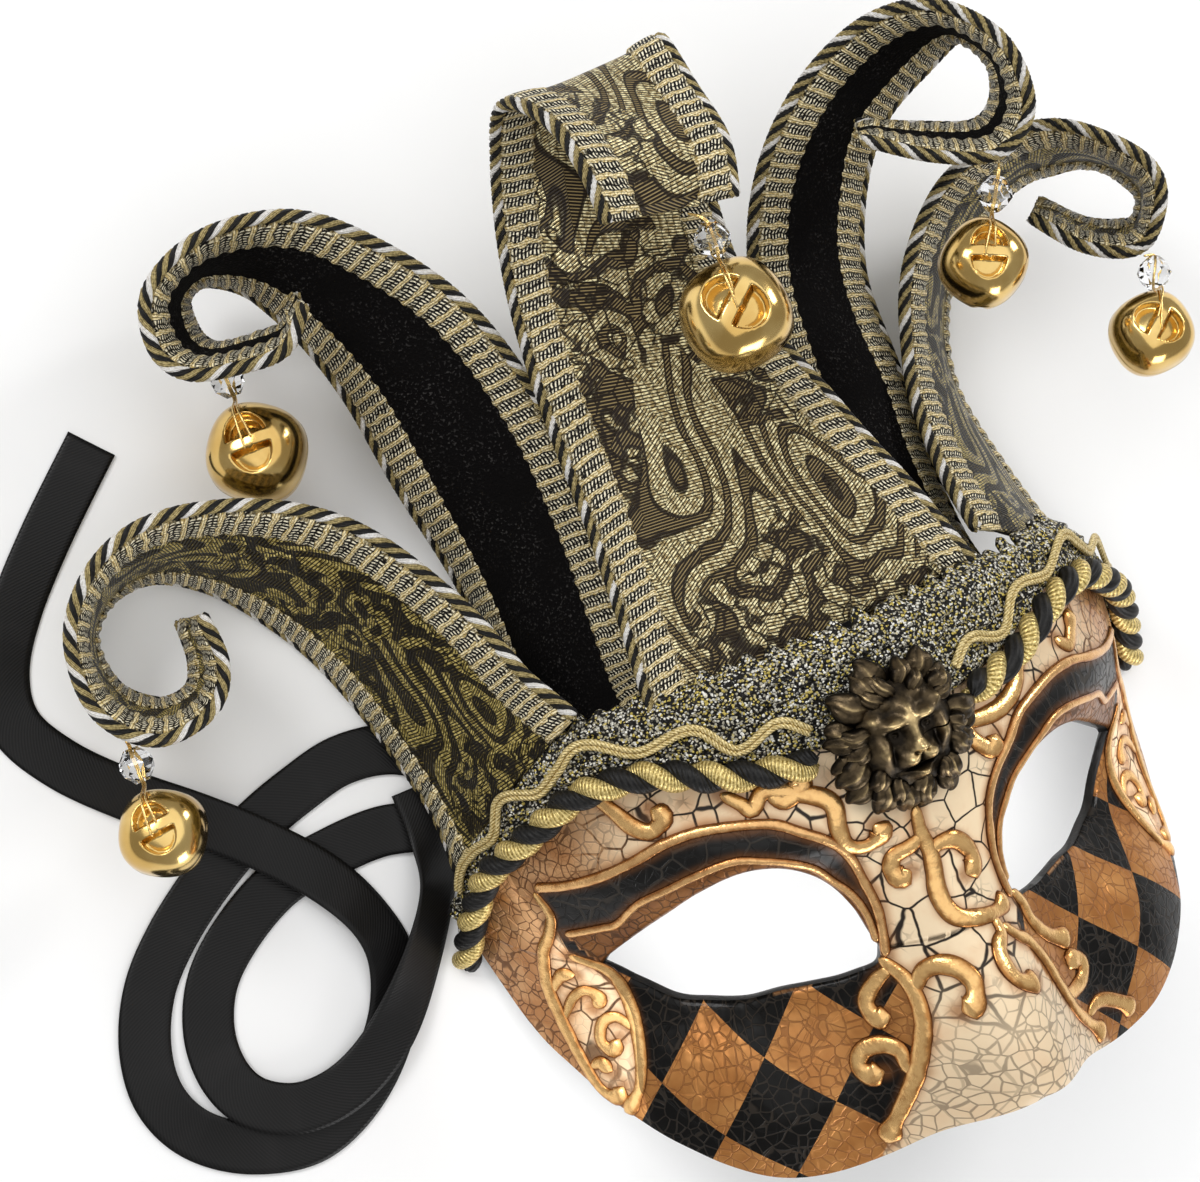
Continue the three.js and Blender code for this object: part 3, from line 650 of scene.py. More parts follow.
class Value:
    """A float socket on which Python's operators add Math nodes."""

    def __init__(self, shader: "Shader", socket: bpy.types.NodeSocket) -> None:
        """Keeps the socket and the shader it belongs to."""
        self.shader = shader
        self.socket = socket

    def _math(self, operation: str, *others: Operand, swap: bool = False) -> "Value":
        """A Math node on this value and others, in turned order where swapped."""
        values = [self, *others]
        if swap:
            values.reverse()
        made = self.shader.node("ShaderNodeMath", {"operation": operation},
                                dict(enumerate(values)))
        return Value(self.shader, made.outputs[0])

    def __add__(self, other: Operand) -> "Value":
        """Sum."""
        return self._math("ADD", other)

    __radd__ = __add__

    def __sub__(self, other: Operand) -> "Value":
        """Difference."""
        return self._math("SUBTRACT", other)

    def __rsub__(self, other: Operand) -> "Value":
        """Difference from a number."""
        return self._math("SUBTRACT", other, swap=True)

    def __mul__(self, other: Operand) -> "Value":
        """Product."""
        return self._math("MULTIPLY", other)

    __rmul__ = __mul__

    def __truediv__(self, other: Operand) -> "Value":
        """Quotient."""
        return self._math("DIVIDE", other)

    def __rtruediv__(self, other: Operand) -> "Value":
        """A number divided by this."""
        return self._math("DIVIDE", other, swap=True)

    def __abs__(self) -> "Value":
        """Size without sign."""
        return self._math("ABSOLUTE")

    def sine(self) -> "Value":
        """Sine of radians."""
        return self._math("SINE")

    def fraction(self) -> "Value":
        """What is left over the whole number below."""
        return self._math("FRACT")

    def rounded(self) -> "Value":
        """The nearest whole number."""
        return self._math("ROUND")

    def least(self, other: Operand) -> "Value":
        """The smaller of two."""
        return self._math("MINIMUM", other)

    def most(self, other: Operand) -> "Value":
        """The larger of two."""
        return self._math("MAXIMUM", other)

    def ramp(self, low: float, high: float) -> "Value":
        """A smooth step from 0 at low to 1 at high, either way round."""
        settings = {"interpolation_type": "SMOOTHSTEP", "clamp": True}
        if low < high:
            inputs = {0: self, 1: low, 2: high, 3: 0.0, 4: 1.0}
        else:
            inputs = {0: self, 1: high, 2: low, 3: 1.0, 4: 0.0}
        made = self.shader.node("ShaderNodeMapRange", settings, inputs)
        return Value(self.shader, made.outputs[0])


Paint = Union[Colour, bpy.types.NodeSocket]


class Shader:
    """One material and its nodes."""

    def __init__(self, name: str) -> None:
        """Starts an empty material."""
        self.material = bpy.data.materials.new(name)
        self.material.use_nodes = True
        self.tree = self.material.node_tree
        self.tree.nodes.clear()

    def node(self, kind: str, settings: Optional[dict] = None,
             inputs: Optional[dict] = None) -> bpy.types.Node:
        """Adds a node.

        Args:
            kind: its type.
            settings: properties, set first.
            inputs: values or links of its sockets, by name or number.

        Returns:
            The node.
        """
        made = self.tree.nodes.new(kind)
        for key, value in (settings or {}).items():
            setattr(made, key, value)
        for key, value in (inputs or {}).items():
            socket = made.inputs[key]
            if isinstance(value, Value):
                self.tree.links.new(value.socket, socket)
            elif isinstance(value, bpy.types.NodeSocket):
                self.tree.links.new(value, socket)
            elif isinstance(value, tuple) and len(socket.default_value) == 4:
                socket.default_value = (*value, 1.0)
            else:
                socket.default_value = value
        return made

    def split(self, vector: bpy.types.NodeSocket) -> tuple[Value, Value, Value]:
        """A vector's three parts."""
        made = self.node("ShaderNodeSeparateXYZ", inputs={0: vector})
        return tuple(Value(self, out) for out in made.outputs[:3])

    def vector(self, x: Operand, y: Operand, z: Operand = 0.0) -> bpy.types.NodeSocket:
        """A vector of three values."""
        return self.node("ShaderNodeCombineXYZ", inputs={0: x, 1: y, 2: z}).outputs[0]

    def uv(self) -> tuple[Value, Value, Value]:
        """The piece's own UV, as values."""
        return self.split(self.node("ShaderNodeUVMap", {"uv_map": "map"}).outputs[0])

    def place(self) -> bpy.types.NodeSocket:
        """Object coordinates in millimetres."""
        spot = self.node("ShaderNodeTexCoord").outputs["Object"]
        return self.node("ShaderNodeVectorMath", {"operation": "SCALE"},
                         {0: spot, "Scale": 1000.0}).outputs[0]

    def tint(self) -> tuple[Value, Value, Value, Value]:
        """The four values kept on the mesh."""
        made = self.node("ShaderNodeAttribute", {"attribute_name": "tint"})
        return (*self.split(made.outputs["Color"]), Value(self, made.outputs["Alpha"]))

    def noise(self, at: bpy.types.NodeSocket, size: float, detail: float = 3.0) -> Value:
        """Noise from 0 to 1 with features of a size in the units of its place."""
        made = self.node("ShaderNodeTexNoise", inputs={
            "Vector": at, "Scale": 1 / size, "Detail": detail})
        return Value(self, made.outputs[0])

    def cells(self, at: bpy.types.NodeSocket, size: float, feature: str = "F1",
              spread: float = 1.0) -> tuple[Value, bpy.types.NodeSocket]:
        """Voronoi cells of a size: the distance in sizes, and the cell's colour or place."""
        made = self.node("ShaderNodeTexVoronoi", {"feature": feature}, {
            "Vector": at, "Scale": 1 / size, "Randomness": spread})
        out = made.outputs
        return Value(self, out["Distance"]), out["Color" if "Color" in out else 0]

    def warped(self, at: bpy.types.NodeSocket, size: float, amount: float
               ) -> bpy.types.NodeSocket:
        """Places moved about by noise: by up to half the amount."""
        made = self.node("ShaderNodeTexNoise", inputs={"Vector": at, "Scale": 1 / size})
        push = self.node("ShaderNodeVectorMath", {"operation": "MULTIPLY_ADD"}, {
            0: made.outputs["Color"], 1: (amount,) * 3, 2: (-amount / 2,) * 3}).outputs[0]
        return self.node("ShaderNodeVectorMath", {"operation": "ADD"},
                         {0: at, 1: push}).outputs[0]

    def mix(self, share: Operand, a: Paint, b: Paint) -> bpy.types.NodeSocket:
        """A colour from a to b."""
        made = self.node("ShaderNodeMix", {"data_type": "RGBA"}, {0: share, 6: a, 7: b})
        return made.outputs[2]

    def bump(self, height: Value, deep: float, over: Optional[bpy.types.NodeSocket] = None
             ) -> bpy.types.NodeSocket:
        """A normal from a height times so many millimetres."""
        inputs = {"Height": height, "Strength": 1.0, "Distance": deep / 1000}
        if over is not None:
            inputs["Normal"] = over
        return self.node("ShaderNodeBump", inputs=inputs).outputs[0]

    def done(self, colour: Paint, rough: Operand, normal: Optional[bpy.types.NodeSocket] = None,
             metal: Operand = 0.0, **fixed: float) -> bpy.types.Material:
        """Ends the material in a Principled shader.

        Args:
            colour: Base Color.
            rough: Roughness.
            normal: Normal, where something is raised.
            metal: Metallic.
            **fixed: constant values of other sockets, with _ for a space in their names.

        Returns:
            The material.
        """
        inputs = {"Base Color": colour, "Roughness": rough, "Metallic": metal}
        if normal is not None:
            inputs["Normal"] = normal
        inputs.update({key.replace("_", " "): value for key, value in fixed.items()})
        end = self.node("ShaderNodeBsdfPrincipled", inputs=inputs)
        self.node("ShaderNodeOutputMaterial", inputs={0: end.outputs[0]})
        return self.material


@dataclass(frozen=True)
class Enamel:
    """Crackled lacquer: cream on the nose and forehead, copper and black elsewhere.

    The tint holds how much of each zone a place is in: cream, black band, cheek, and how
    near it is to a raised scroll.
    """

    cream: Colour = (0.87, 0.69, 0.46)
    blush: Colour = (0.66, 0.33, 0.14)
    copper: Colour = (0.38, 0.15, 0.038)
    bronze: Colour = (0.17, 0.062, 0.017)
    black: Colour = (0.004, 0.0035, 0.003)
    crack: Colour = (0.018, 0.012, 0.008)
    patina: Colour = (0.20, 0.075, 0.02)
    diamonds: tuple[float, float, float, float] = (16.4, 23.5, -31.0, 38.5)

    def make(self) -> bpy.types.Material:
        """Builds the material; UV is (degrees round, height) over 100."""
        s = Shader("enamel")
        u, v, _ = s.uv()
        cream, band, cheek, near = s.tint()
        turn, height = u * 100.0, v * 100.0
        flat = s.vector(turn * FACE.per_degree, height, 0.0)
        bent = s.warped(flat, 6.0, 1.6)
        wide, _ = s.cells(bent, 6.6, "DISTANCE_TO_EDGE")
        fine, _ = s.cells(bent, 2.4, "DISTANCE_TO_EDGE")
        hair, _ = s.cells(s.warped(flat, 3.0, 0.8), 1.5, "DISTANCE_TO_EDGE")
        patch = s.noise(flat, 15.0)
        low = height.ramp(34, 14)
        coarse_line = wide.ramp(0.040, 0.014) * (1 - low * 0.7)
        fine_line = fine.ramp(0.07, 0.025)
        hair_line = hair.ramp(0.06, 0.02) * patch.ramp(0.45, 0.6)
        cream_lines = coarse_line.most(fine_line * (low * 0.55).most(patch.ramp(0.50, 0.62) * 0.5))
        mixed = s.noise(flat, 9.0, 4.0)
        glow = mixed.ramp(0.46, 0.72) * 0.35 + near * 0.6 + height.ramp(68, 84) * 0.2
        skin = s.mix(glow.least(1.0), self.cream, self.blush)
        skin = s.mix(height.ramp(30, 8) * 0.5, skin, (0.60, 0.44, 0.28))
        skin = s.mix(cream_lines, skin, self.crack)
        wide_d, high_d, left_d, right_d = self.diamonds
        side = turn.ramp(-0.5, 0.5)
        middle = left_d + side * (right_d - left_d)
        round_ = (turn - middle) / wide_d
        rise = (height - 12.2 - (abs(turn) - 31.0) * -0.06) / high_d
        parity = ((round_ + rise).rounded() + (round_ - rise).rounded()) / 2
        copper_cell = (abs(parity.fraction() - 0.5) * 2).ramp(0.9, 0.1)
        lit = s.mix(mixed.ramp(0.35, 0.7), self.copper, (0.54, 0.25, 0.075))
        lit = s.mix(fine_line * 0.6, lit, (0.22, 0.085, 0.025))
        dark = s.mix(fine_line * 0.5, self.black, (0.05, 0.038, 0.028))
        chequer = s.mix(copper_cell, dark, lit)
        temple = s.mix(mixed.ramp(0.35, 0.65), (0.46, 0.21, 0.08), (0.64, 0.36, 0.17))
        temple = s.mix((fine_line * 0.75).most(hair_line * 0.5), temple, (0.10, 0.035, 0.012))
        colour = s.mix(cream, temple, skin)
        colour = s.mix(cheek, colour, chequer)
        colour = s.mix(band.ramp(0.55, 0.8), colour, s.mix(coarse_line * 0.5, self.black,
                                                              (0.05, 0.04, 0.03)))
        lid = (abs(band - 0.35)).ramp(0.12, 0.04)
        lid_paint = s.mix(mixed.ramp(0.3, 0.7), self.bronze, (0.32, 0.135, 0.04))
        colour = s.mix(lid, colour, s.mix(fine_line * 0.6, lid_paint, self.crack))
        colour = s.mix(near * near * 0.55, colour, self.patina)
        lines = cream_lines.most(fine_line * (1 - cream) * 0.8)
        rough = 0.24 + mixed * 0.16 + lines * 0.3
        relief = s.bump(1 - lines, 0.16)
        waves = s.bump(s.noise(flat, 5.0, 2.0), 0.35, relief)
        return s.done(colour, rough, waves, metal=(1 - cream) * (1 - band.ramp(0.5, 0.8)) * 0.5,
                      Coat_Weight=0.14, Coat_Roughness=0.1, Specular_IOR_Level=0.2)


@dataclass(frozen=True)
class Plain:
    """A finish of one colour, mottled towards a second, with grain."""

    name: str
    colour: Colour
    second: Colour
    rough: float
    metal: float = 0.0
    size: float = 2.0
    deep: float = 0.1
    coat: float = 0.0

    def make(self) -> bpy.types.Material:
        """Builds the material on Object coordinates."""
        s = Shader(self.name)
        spot = s.place()
        mottle = s.noise(spot, self.size)
        colour = s.mix(mottle.ramp(0.35, 0.68), self.colour, self.second)
        normal = s.bump(s.noise(spot, self.size / 3), self.deep)
        return s.done(colour, self.rough + mottle * 0.12, normal, self.metal,
                      Coat_Weight=self.coat)


@dataclass(frozen=True)
class Cast:
    """Antiqued metal: dark in its hollows, bright where the tint's first value is high; the dark is
    patina and painted shade, the bright is wear and painted highlight.
    """

    name: str
    # The dark colour: patina, and painted shade on flanks and undersides.
    hollow: Colour
    middle: Colour
    # The bright colour: wear, and painted highlight on crests and ridges.
    rubbed_and_highlit: Colour
    rough: float = 0.3
    metal: float = 0.92

    def make(self) -> bpy.types.Material:
        """Builds the material."""
        s = Shader(self.name)
        high, _, _, _ = s.tint()
        spot = s.place()
        # Low tint gives patina and painted shade, high tint gives wear and painted highlight; the
        # noise adds uneven wear.
        wear_and_painted_light = high + (s.noise(spot, 1.6) - 0.5) * 0.5
        colour = s.mix(wear_and_painted_light.ramp(0.25, 0.65), self.hollow, self.middle)
        colour = s.mix(wear_and_painted_light.ramp(0.62, 0.98), colour, self.rubbed_and_highlit)
        normal = s.bump(s.noise(spot, 0.7), 0.08)
        return s.done(colour, self.rough + s.noise(spot, 2.0) * 0.2, normal, self.metal)


@dataclass(frozen=True)
class Brocade:
    """Woven brocade: metallic scrolls over a dark ground; UV is millimetres over 100."""

    name: str
    thread: Colour
    # bright: the colour of painted glints on the gold thread.
    bright: Colour
    ground: Colour
    motif: float = 17.0
    fill: float = 0.0
    bands: float = 74.0
    half: float = 0.75

    def make(self) -> bpy.types.Material:
        """Builds the material: rings round warped cells and bands between them make motifs."""
        s = Shader(self.name)
        u, v, _ = s.uv()
        x, y = u * 100.0, v * 100.0
        flat = s.vector(x, y, 0.0)
        bent = s.warped(flat, self.motif * 0.7, self.motif * 0.5)
        away, _ = s.cells(bent, self.motif * 0.7, "F1", 0.8)
        curls = (away * 16.0 + s.noise(flat, 5.0) * 2.5).sine()
        long = s.warped(s.vector(x, y * 0.42, 0.0), self.motif, self.motif * 0.3)
        bands = (s.noise(long, self.motif * 1.1, 0.0) * self.bands).sine()
        leaf, _ = s.cells(s.warped(flat, 4.0, 3.0), self.motif * 0.26, "DISTANCE_TO_EDGE", 0.9)
        swept = s.noise(s.vector(x, y * 0.6, 3.0), self.motif * 1.2, 0.0).ramp(0.47, 0.49)
        ring = swept * bands + (1 - swept) * curls
        outline = abs(ring - self.fill + 0.45).ramp(0.34, 0.18).most(
            leaf.ramp(0.055, 0.03) * (1 - swept))
        motif = ring.ramp(self.fill - 0.5, self.fill - 0.4)
        slant = s.noise(flat, self.motif * 0.4, 0.0).ramp(0.495, 0.505)
        weft = ((y + x * 0.5) * (1 - slant) + (y - x * 0.25) * slant) * (2 * math.pi / 0.66)
        ribs = weft.sine() * 0.5 + 0.5
        pick = (x * (2 * math.pi / 1.4) + s.noise(flat, 0.8) * 6.0).sine() * 0.5 + 0.5
        # Painted highlight: glint noise brightens patches of gold thread and sets bright flecks on
        # the ground.
        glint = s.noise(s.vector(x * 0.45, y, 0.0), 0.5, 2.0)
        gold = s.mix(glint.ramp(0.43, 0.60), self.thread, self.bright)
        cut = ribs.ramp(0.36, 0.20).most(pick.ramp(0.14, 0.05) * 0.7)
        gold = s.mix(cut, gold, self.ground)
        fleck = ribs.ramp(0.72, 0.92) * pick.ramp(0.45, 0.7) * glint.ramp(0.45, 0.6)
        under = s.mix((fleck * 0.9).most(ribs.ramp(0.62, 0.85) * self.half), self.ground,
                      self.thread)
        colour = s.mix(outline * 0.92, s.mix(motif, under, gold), self.ground)
        height = motif * (1 - outline) * 0.5 + ribs * 0.4 + pick * 0.1
        return s.done(colour, 0.40 - motif * 0.12, s.bump(height, 0.30), motif * 0.28,
                      Specular_IOR_Level=0.15)


@dataclass(frozen=True)
class Velvet:
    """Black velvet with a soft crushed nap."""

    def make(self) -> bpy.types.Material:
        """Builds the material."""
        s = Shader("velvet")
        spot = s.place()
        nap = s.noise(spot, 0.55, 2.0)
        crush = s.noise(spot, 9.0, 3.0)
        colour = s.mix(nap.ramp(0.56, 0.72) * crush.ramp(0.35, 0.7), (0.0025, 0.002, 0.002),
                       (0.050, 0.047, 0.045))
        return s.done(colour, 0.9, s.bump(nap, 0.4), 0.0, Specular_IOR_Level=0.1)


@dataclass(frozen=True)
class Gimp:
    """Gimp braid: a smooth cream rib, then two rows of black thread with white twists.

    U is 0 to 1 across it on its face; V is millimetres over 10 along it.
    """

    rib: float = 3.0

    def make(self) -> bpy.types.Material:
        """Builds the material from the place in a rib along the braid and dots across it."""
        s = Shader("gimp")
        u, v, _ = s.uv()
        _, _, _, edge = s.tint()
        across, along = u * 20.0, v * 10.0
        flat = s.vector(across, along, 0.0)
        wob = (s.noise(flat, 2.1, 2.0) - 0.5) * 1.7 + across * 0.05
        turn = ((along + wob) / self.rib).fraction()
        cream_rib = turn.ramp(0.02, 0.06) * turn.ramp(0.40, 0.35)
        row = ((turn - 0.37) / 0.315).fraction()
        body = (1 - abs(row - 0.5) * 2).ramp(0.05, 0.5)
        line = (turn - 0.37).ramp(0.31, 0.33)
        twist = (across * (2 * math.pi / 0.86) + row * 2.6 + line * 2.2
                 + s.noise(flat, 1.3) * 4.0).sine()
        dots = twist.ramp(0.0, 0.4) * s.noise(flat, 0.9).ramp(0.33, 0.42) * body * (1 - cream_rib)
        yarn = ((along * 5.0 + across * 0.5) * 2.6 + s.noise(flat, 1.2) * 6.0).sine()
        # Painted highlight: glint noise brightens the cream rib's thread; the dark yarn lines are
        # painted shade between its wraps.
        glint = s.noise(flat, 0.45, 2.0)
        cream = s.mix(glint.ramp(0.38, 0.62), (0.48, 0.345, 0.12), (1.0, 0.87, 0.55))
        cream = s.mix(yarn.ramp(-0.45, -0.9) * 0.8, cream, (0.08, 0.055, 0.02))
        colour = s.mix(dots, (0.004, 0.003, 0.002), (0.94, 0.87, 0.66))
        colour = s.mix(cream_rib, colour, cream)
        fringe = edge * s.noise(flat, 0.8, 2.0).ramp(0.42, 0.55)
        colour = s.mix(fringe * 0.8, colour, cream)
        height = cream_rib * 0.55 + body * (1 - cream_rib) * 0.3 + dots * 0.25 + yarn * 0.06
        return s.done(colour, 0.5, s.bump(height, 0.7), 0.1, Specular_IOR_Level=0.2)


@dataclass(frozen=True)
class Thread:
    """Yarn of many threads laid along a strand, at a slant; U round it, V millimetres along."""

    name: str
    # dark: painted shade in the grooves between threads; light: painted highlight on them.
    dark: Colour
    light: Colour
    rough: float
    metal: float = 0.0
    count: int = 9
    slant: float = 0.5
    deep: float = 0.14

    def make(self) -> bpy.types.Material:
        """Builds the material from the threads' wave round the strand: painted shade between the
        threads, painted highlight on them and in glints.
        """
        s = Shader(self.name)
        u, v, _ = s.uv()
        spot = s.place()
        wave = ((u * float(self.count) + v * self.slant) * (2 * math.pi)).sine() * 0.5 + 0.5
        glint = s.noise(spot, 0.45, 2.0)
        # The colour follows the wave and the glint noise: painted shade and painted highlight.
        share = (wave * 0.5 + glint.ramp(0.35, 0.7) * 0.6).least(1.0)
        colour = s.mix(share, self.dark, self.light)
        return s.done(colour, self.rough + glint * 0.15, s.bump(wave, self.deep), self.metal,
                      Specular_IOR_Level=0.25)


@dataclass(frozen=True)
class Lurex:
    """Crepe knit of black, silver and gold threads: tiny loops, one colour each."""

    def make(self) -> bpy.types.Material:
        """Builds the material."""
        s = Shader("lurex")
        spot = s.warped(s.place(), 2.0, 0.8)
        away, shade = s.cells(spot, 0.52)
        r, g, b = s.split(shade)
        silver = s.mix(r.ramp(0.35, 0.7), (0.45, 0.42, 0.33), (0.92, 0.90, 0.82))
        gold = s.mix((g + s.noise(spot, 14.0) * 0.6).ramp(0.82, 1.12), silver, (0.62, 0.49, 0.12))
        dark = b.ramp(0.32, 0.26).most(away.ramp(0.46, 0.64))
        colour = s.mix(dark, gold, (0.010, 0.009, 0.008))
        return s.done(colour, 0.38, s.bump(1 - away, 0.45), 0.25, Specular_IOR_Level=0.25)


@dataclass(frozen=True)
class Satin:
    """Black satin ribbon with a fine slanting weave; UV is millimetres over 100."""

    def make(self) -> bpy.types.Material:
        """Builds the material."""
        s = Shader("satin")
        u, v, _ = s.uv()
        x, y = u * 100.0, v * 100.0
        twill = ((x * 1.0 + y * 0.9) * (2 * math.pi / 0.75)).sine() * 0.5 + 0.5
        selvage = abs(x - 5.0).ramp(4.1, 4.5)
        pale = s.noise(s.vector(x * 0.2, y, 0.0), 9.0)
        colour = s.mix(twill * 0.6 + pale.ramp(0.5, 0.8) * 0.4, (0.002, 0.002, 0.002),
                       (0.012, 0.011, 0.011))
        height = twill * 0.5 + selvage * 0.8
        return s.done(colour, 0.4, s.bump(height, 0.05), 0.0, Specular_IOR_Level=0.22)


@dataclass(frozen=True)
class Crystal:
    """Clear faceted glass."""

    def make(self) -> bpy.types.Material:
        """Builds the material."""
        s = Shader("crystal")
        return s.done((0.97, 0.98, 1.0), 0.02, None, 0.0, Transmission_Weight=1.0, IOR=1.54)


class Finish(Enum):
    """The finishes, each with its recipe."""

    ENAMEL = Enamel()
    LINING = Plain("lining", (0.010, 0.010, 0.010), (0.022, 0.020, 0.019), 0.32, deep=0.12,
                   coat=0.3)
    GILT = Cast("gilt", (0.12, 0.036, 0.008), (0.42, 0.18, 0.045), (0.86, 0.53, 0.21), 0.13, 0.75)
    COPPER = Cast("copper", (0.10, 0.03, 0.008), (0.38, 0.15, 0.04), (0.82, 0.48, 0.20), 0.13, 0.75)
    BRONZE = Cast("bronze", (0.012, 0.009, 0.006), (0.11, 0.078, 0.042), (0.66, 0.49, 0.24), 0.28)
    BROCADE_TAN = Brocade("brocade_tan", (0.36, 0.27, 0.12), (1.0, 0.90, 0.54),
                          (0.014, 0.009, 0.006))
    # Darker than the tan: partly the far points' own olive cloth, partly painted shade on their
    # curled faces.
    BROCADE_OLIVE_SHADED = Brocade("brocade_olive_shaded", (0.24, 0.18, 0.045), (0.66, 0.53, 0.18),
                            (0.008, 0.006, 0.004), 11.0, 0.12, 56.0, 0.12)
    VELVET = Velvet()
    GIMP = Gimp()
    BLACK_YARN = Thread("black_yarn", (0.002, 0.002, 0.002), (0.016, 0.015, 0.014), 0.42)
    GOLD_YARN = Thread("gold_yarn", (0.24, 0.15, 0.02), (1.0, 0.80, 0.34), 0.28, 0.5, 4, 1.5)
    WHITE_YARN = Thread("white_yarn", (0.62, 0.58, 0.52), (0.96, 0.95, 0.93), 0.5)
    TAN_YARN = Thread("tan_yarn", (0.12, 0.085, 0.025), (0.60, 0.48, 0.22), 0.45, 0.2)
    SOUTACHE = Thread("soutache", (0.34, 0.23, 0.05), (1.0, 0.83, 0.44), 0.3, 0.4, 4, 1.2)
    LUREX = Lurex()
    BRASS = Plain("brass", (0.62, 0.40, 0.125), (0.80, 0.57, 0.22), 0.10, 1.0, 9.0, 0.02)
    WIRE = Plain("wire", (0.80, 0.55, 0.20), (0.86, 0.62, 0.25), 0.18, 1.0)
    CRYSTAL = Crystal()
    SATIN = Satin()
    FLOOR = Plain("floor", (0.93, 0.93, 0.93), (0.93, 0.93, 0.93), 0.75, deep=0.0)

    @property
    def material(self) -> bpy.types.Material:
        """The finish's material, built on first use."""
        kept = MATERIALS.get(self.name)
        if kept is None:
            kept = MATERIALS[self.name] = self.value.make()
        return kept


MATERIALS: dict[str, bpy.types.Material] = {}


def nearest(places: Array, lines: Sequence[Array]) -> Array:
    """How far places are from the nearest of some lines, each a run of points."""
    best = np.full(places.shape[:-1], 1e9)
    for line in lines:
        for start, end in zip(line[:-1], line[1:]):
            way = end - start
            t = np.clip(((places - start) @ way) / max(float(way @ way), 1e-9), 0, 1)
            gap = np.linalg.norm(places - start - t[..., None] * way, axis=-1)
            best = np.minimum(best, gap)
    return best


def inside(turn: Array, height: Array, corners: Rows) -> Array:
    """True where (turn, height) lies in a polygon, by counting the edges to one side."""
    found = np.zeros(turn.shape, bool)
    for (x1, y1), (x2, y2) in zip(corners, [*corners[1:], corners[0]]):
        cross = (y1 > height) != (y2 > height)
        found ^= cross & (turn < (x2 - x1) * (height - y1) / ((y2 - y1) or 1e-9) + x1)
    return found


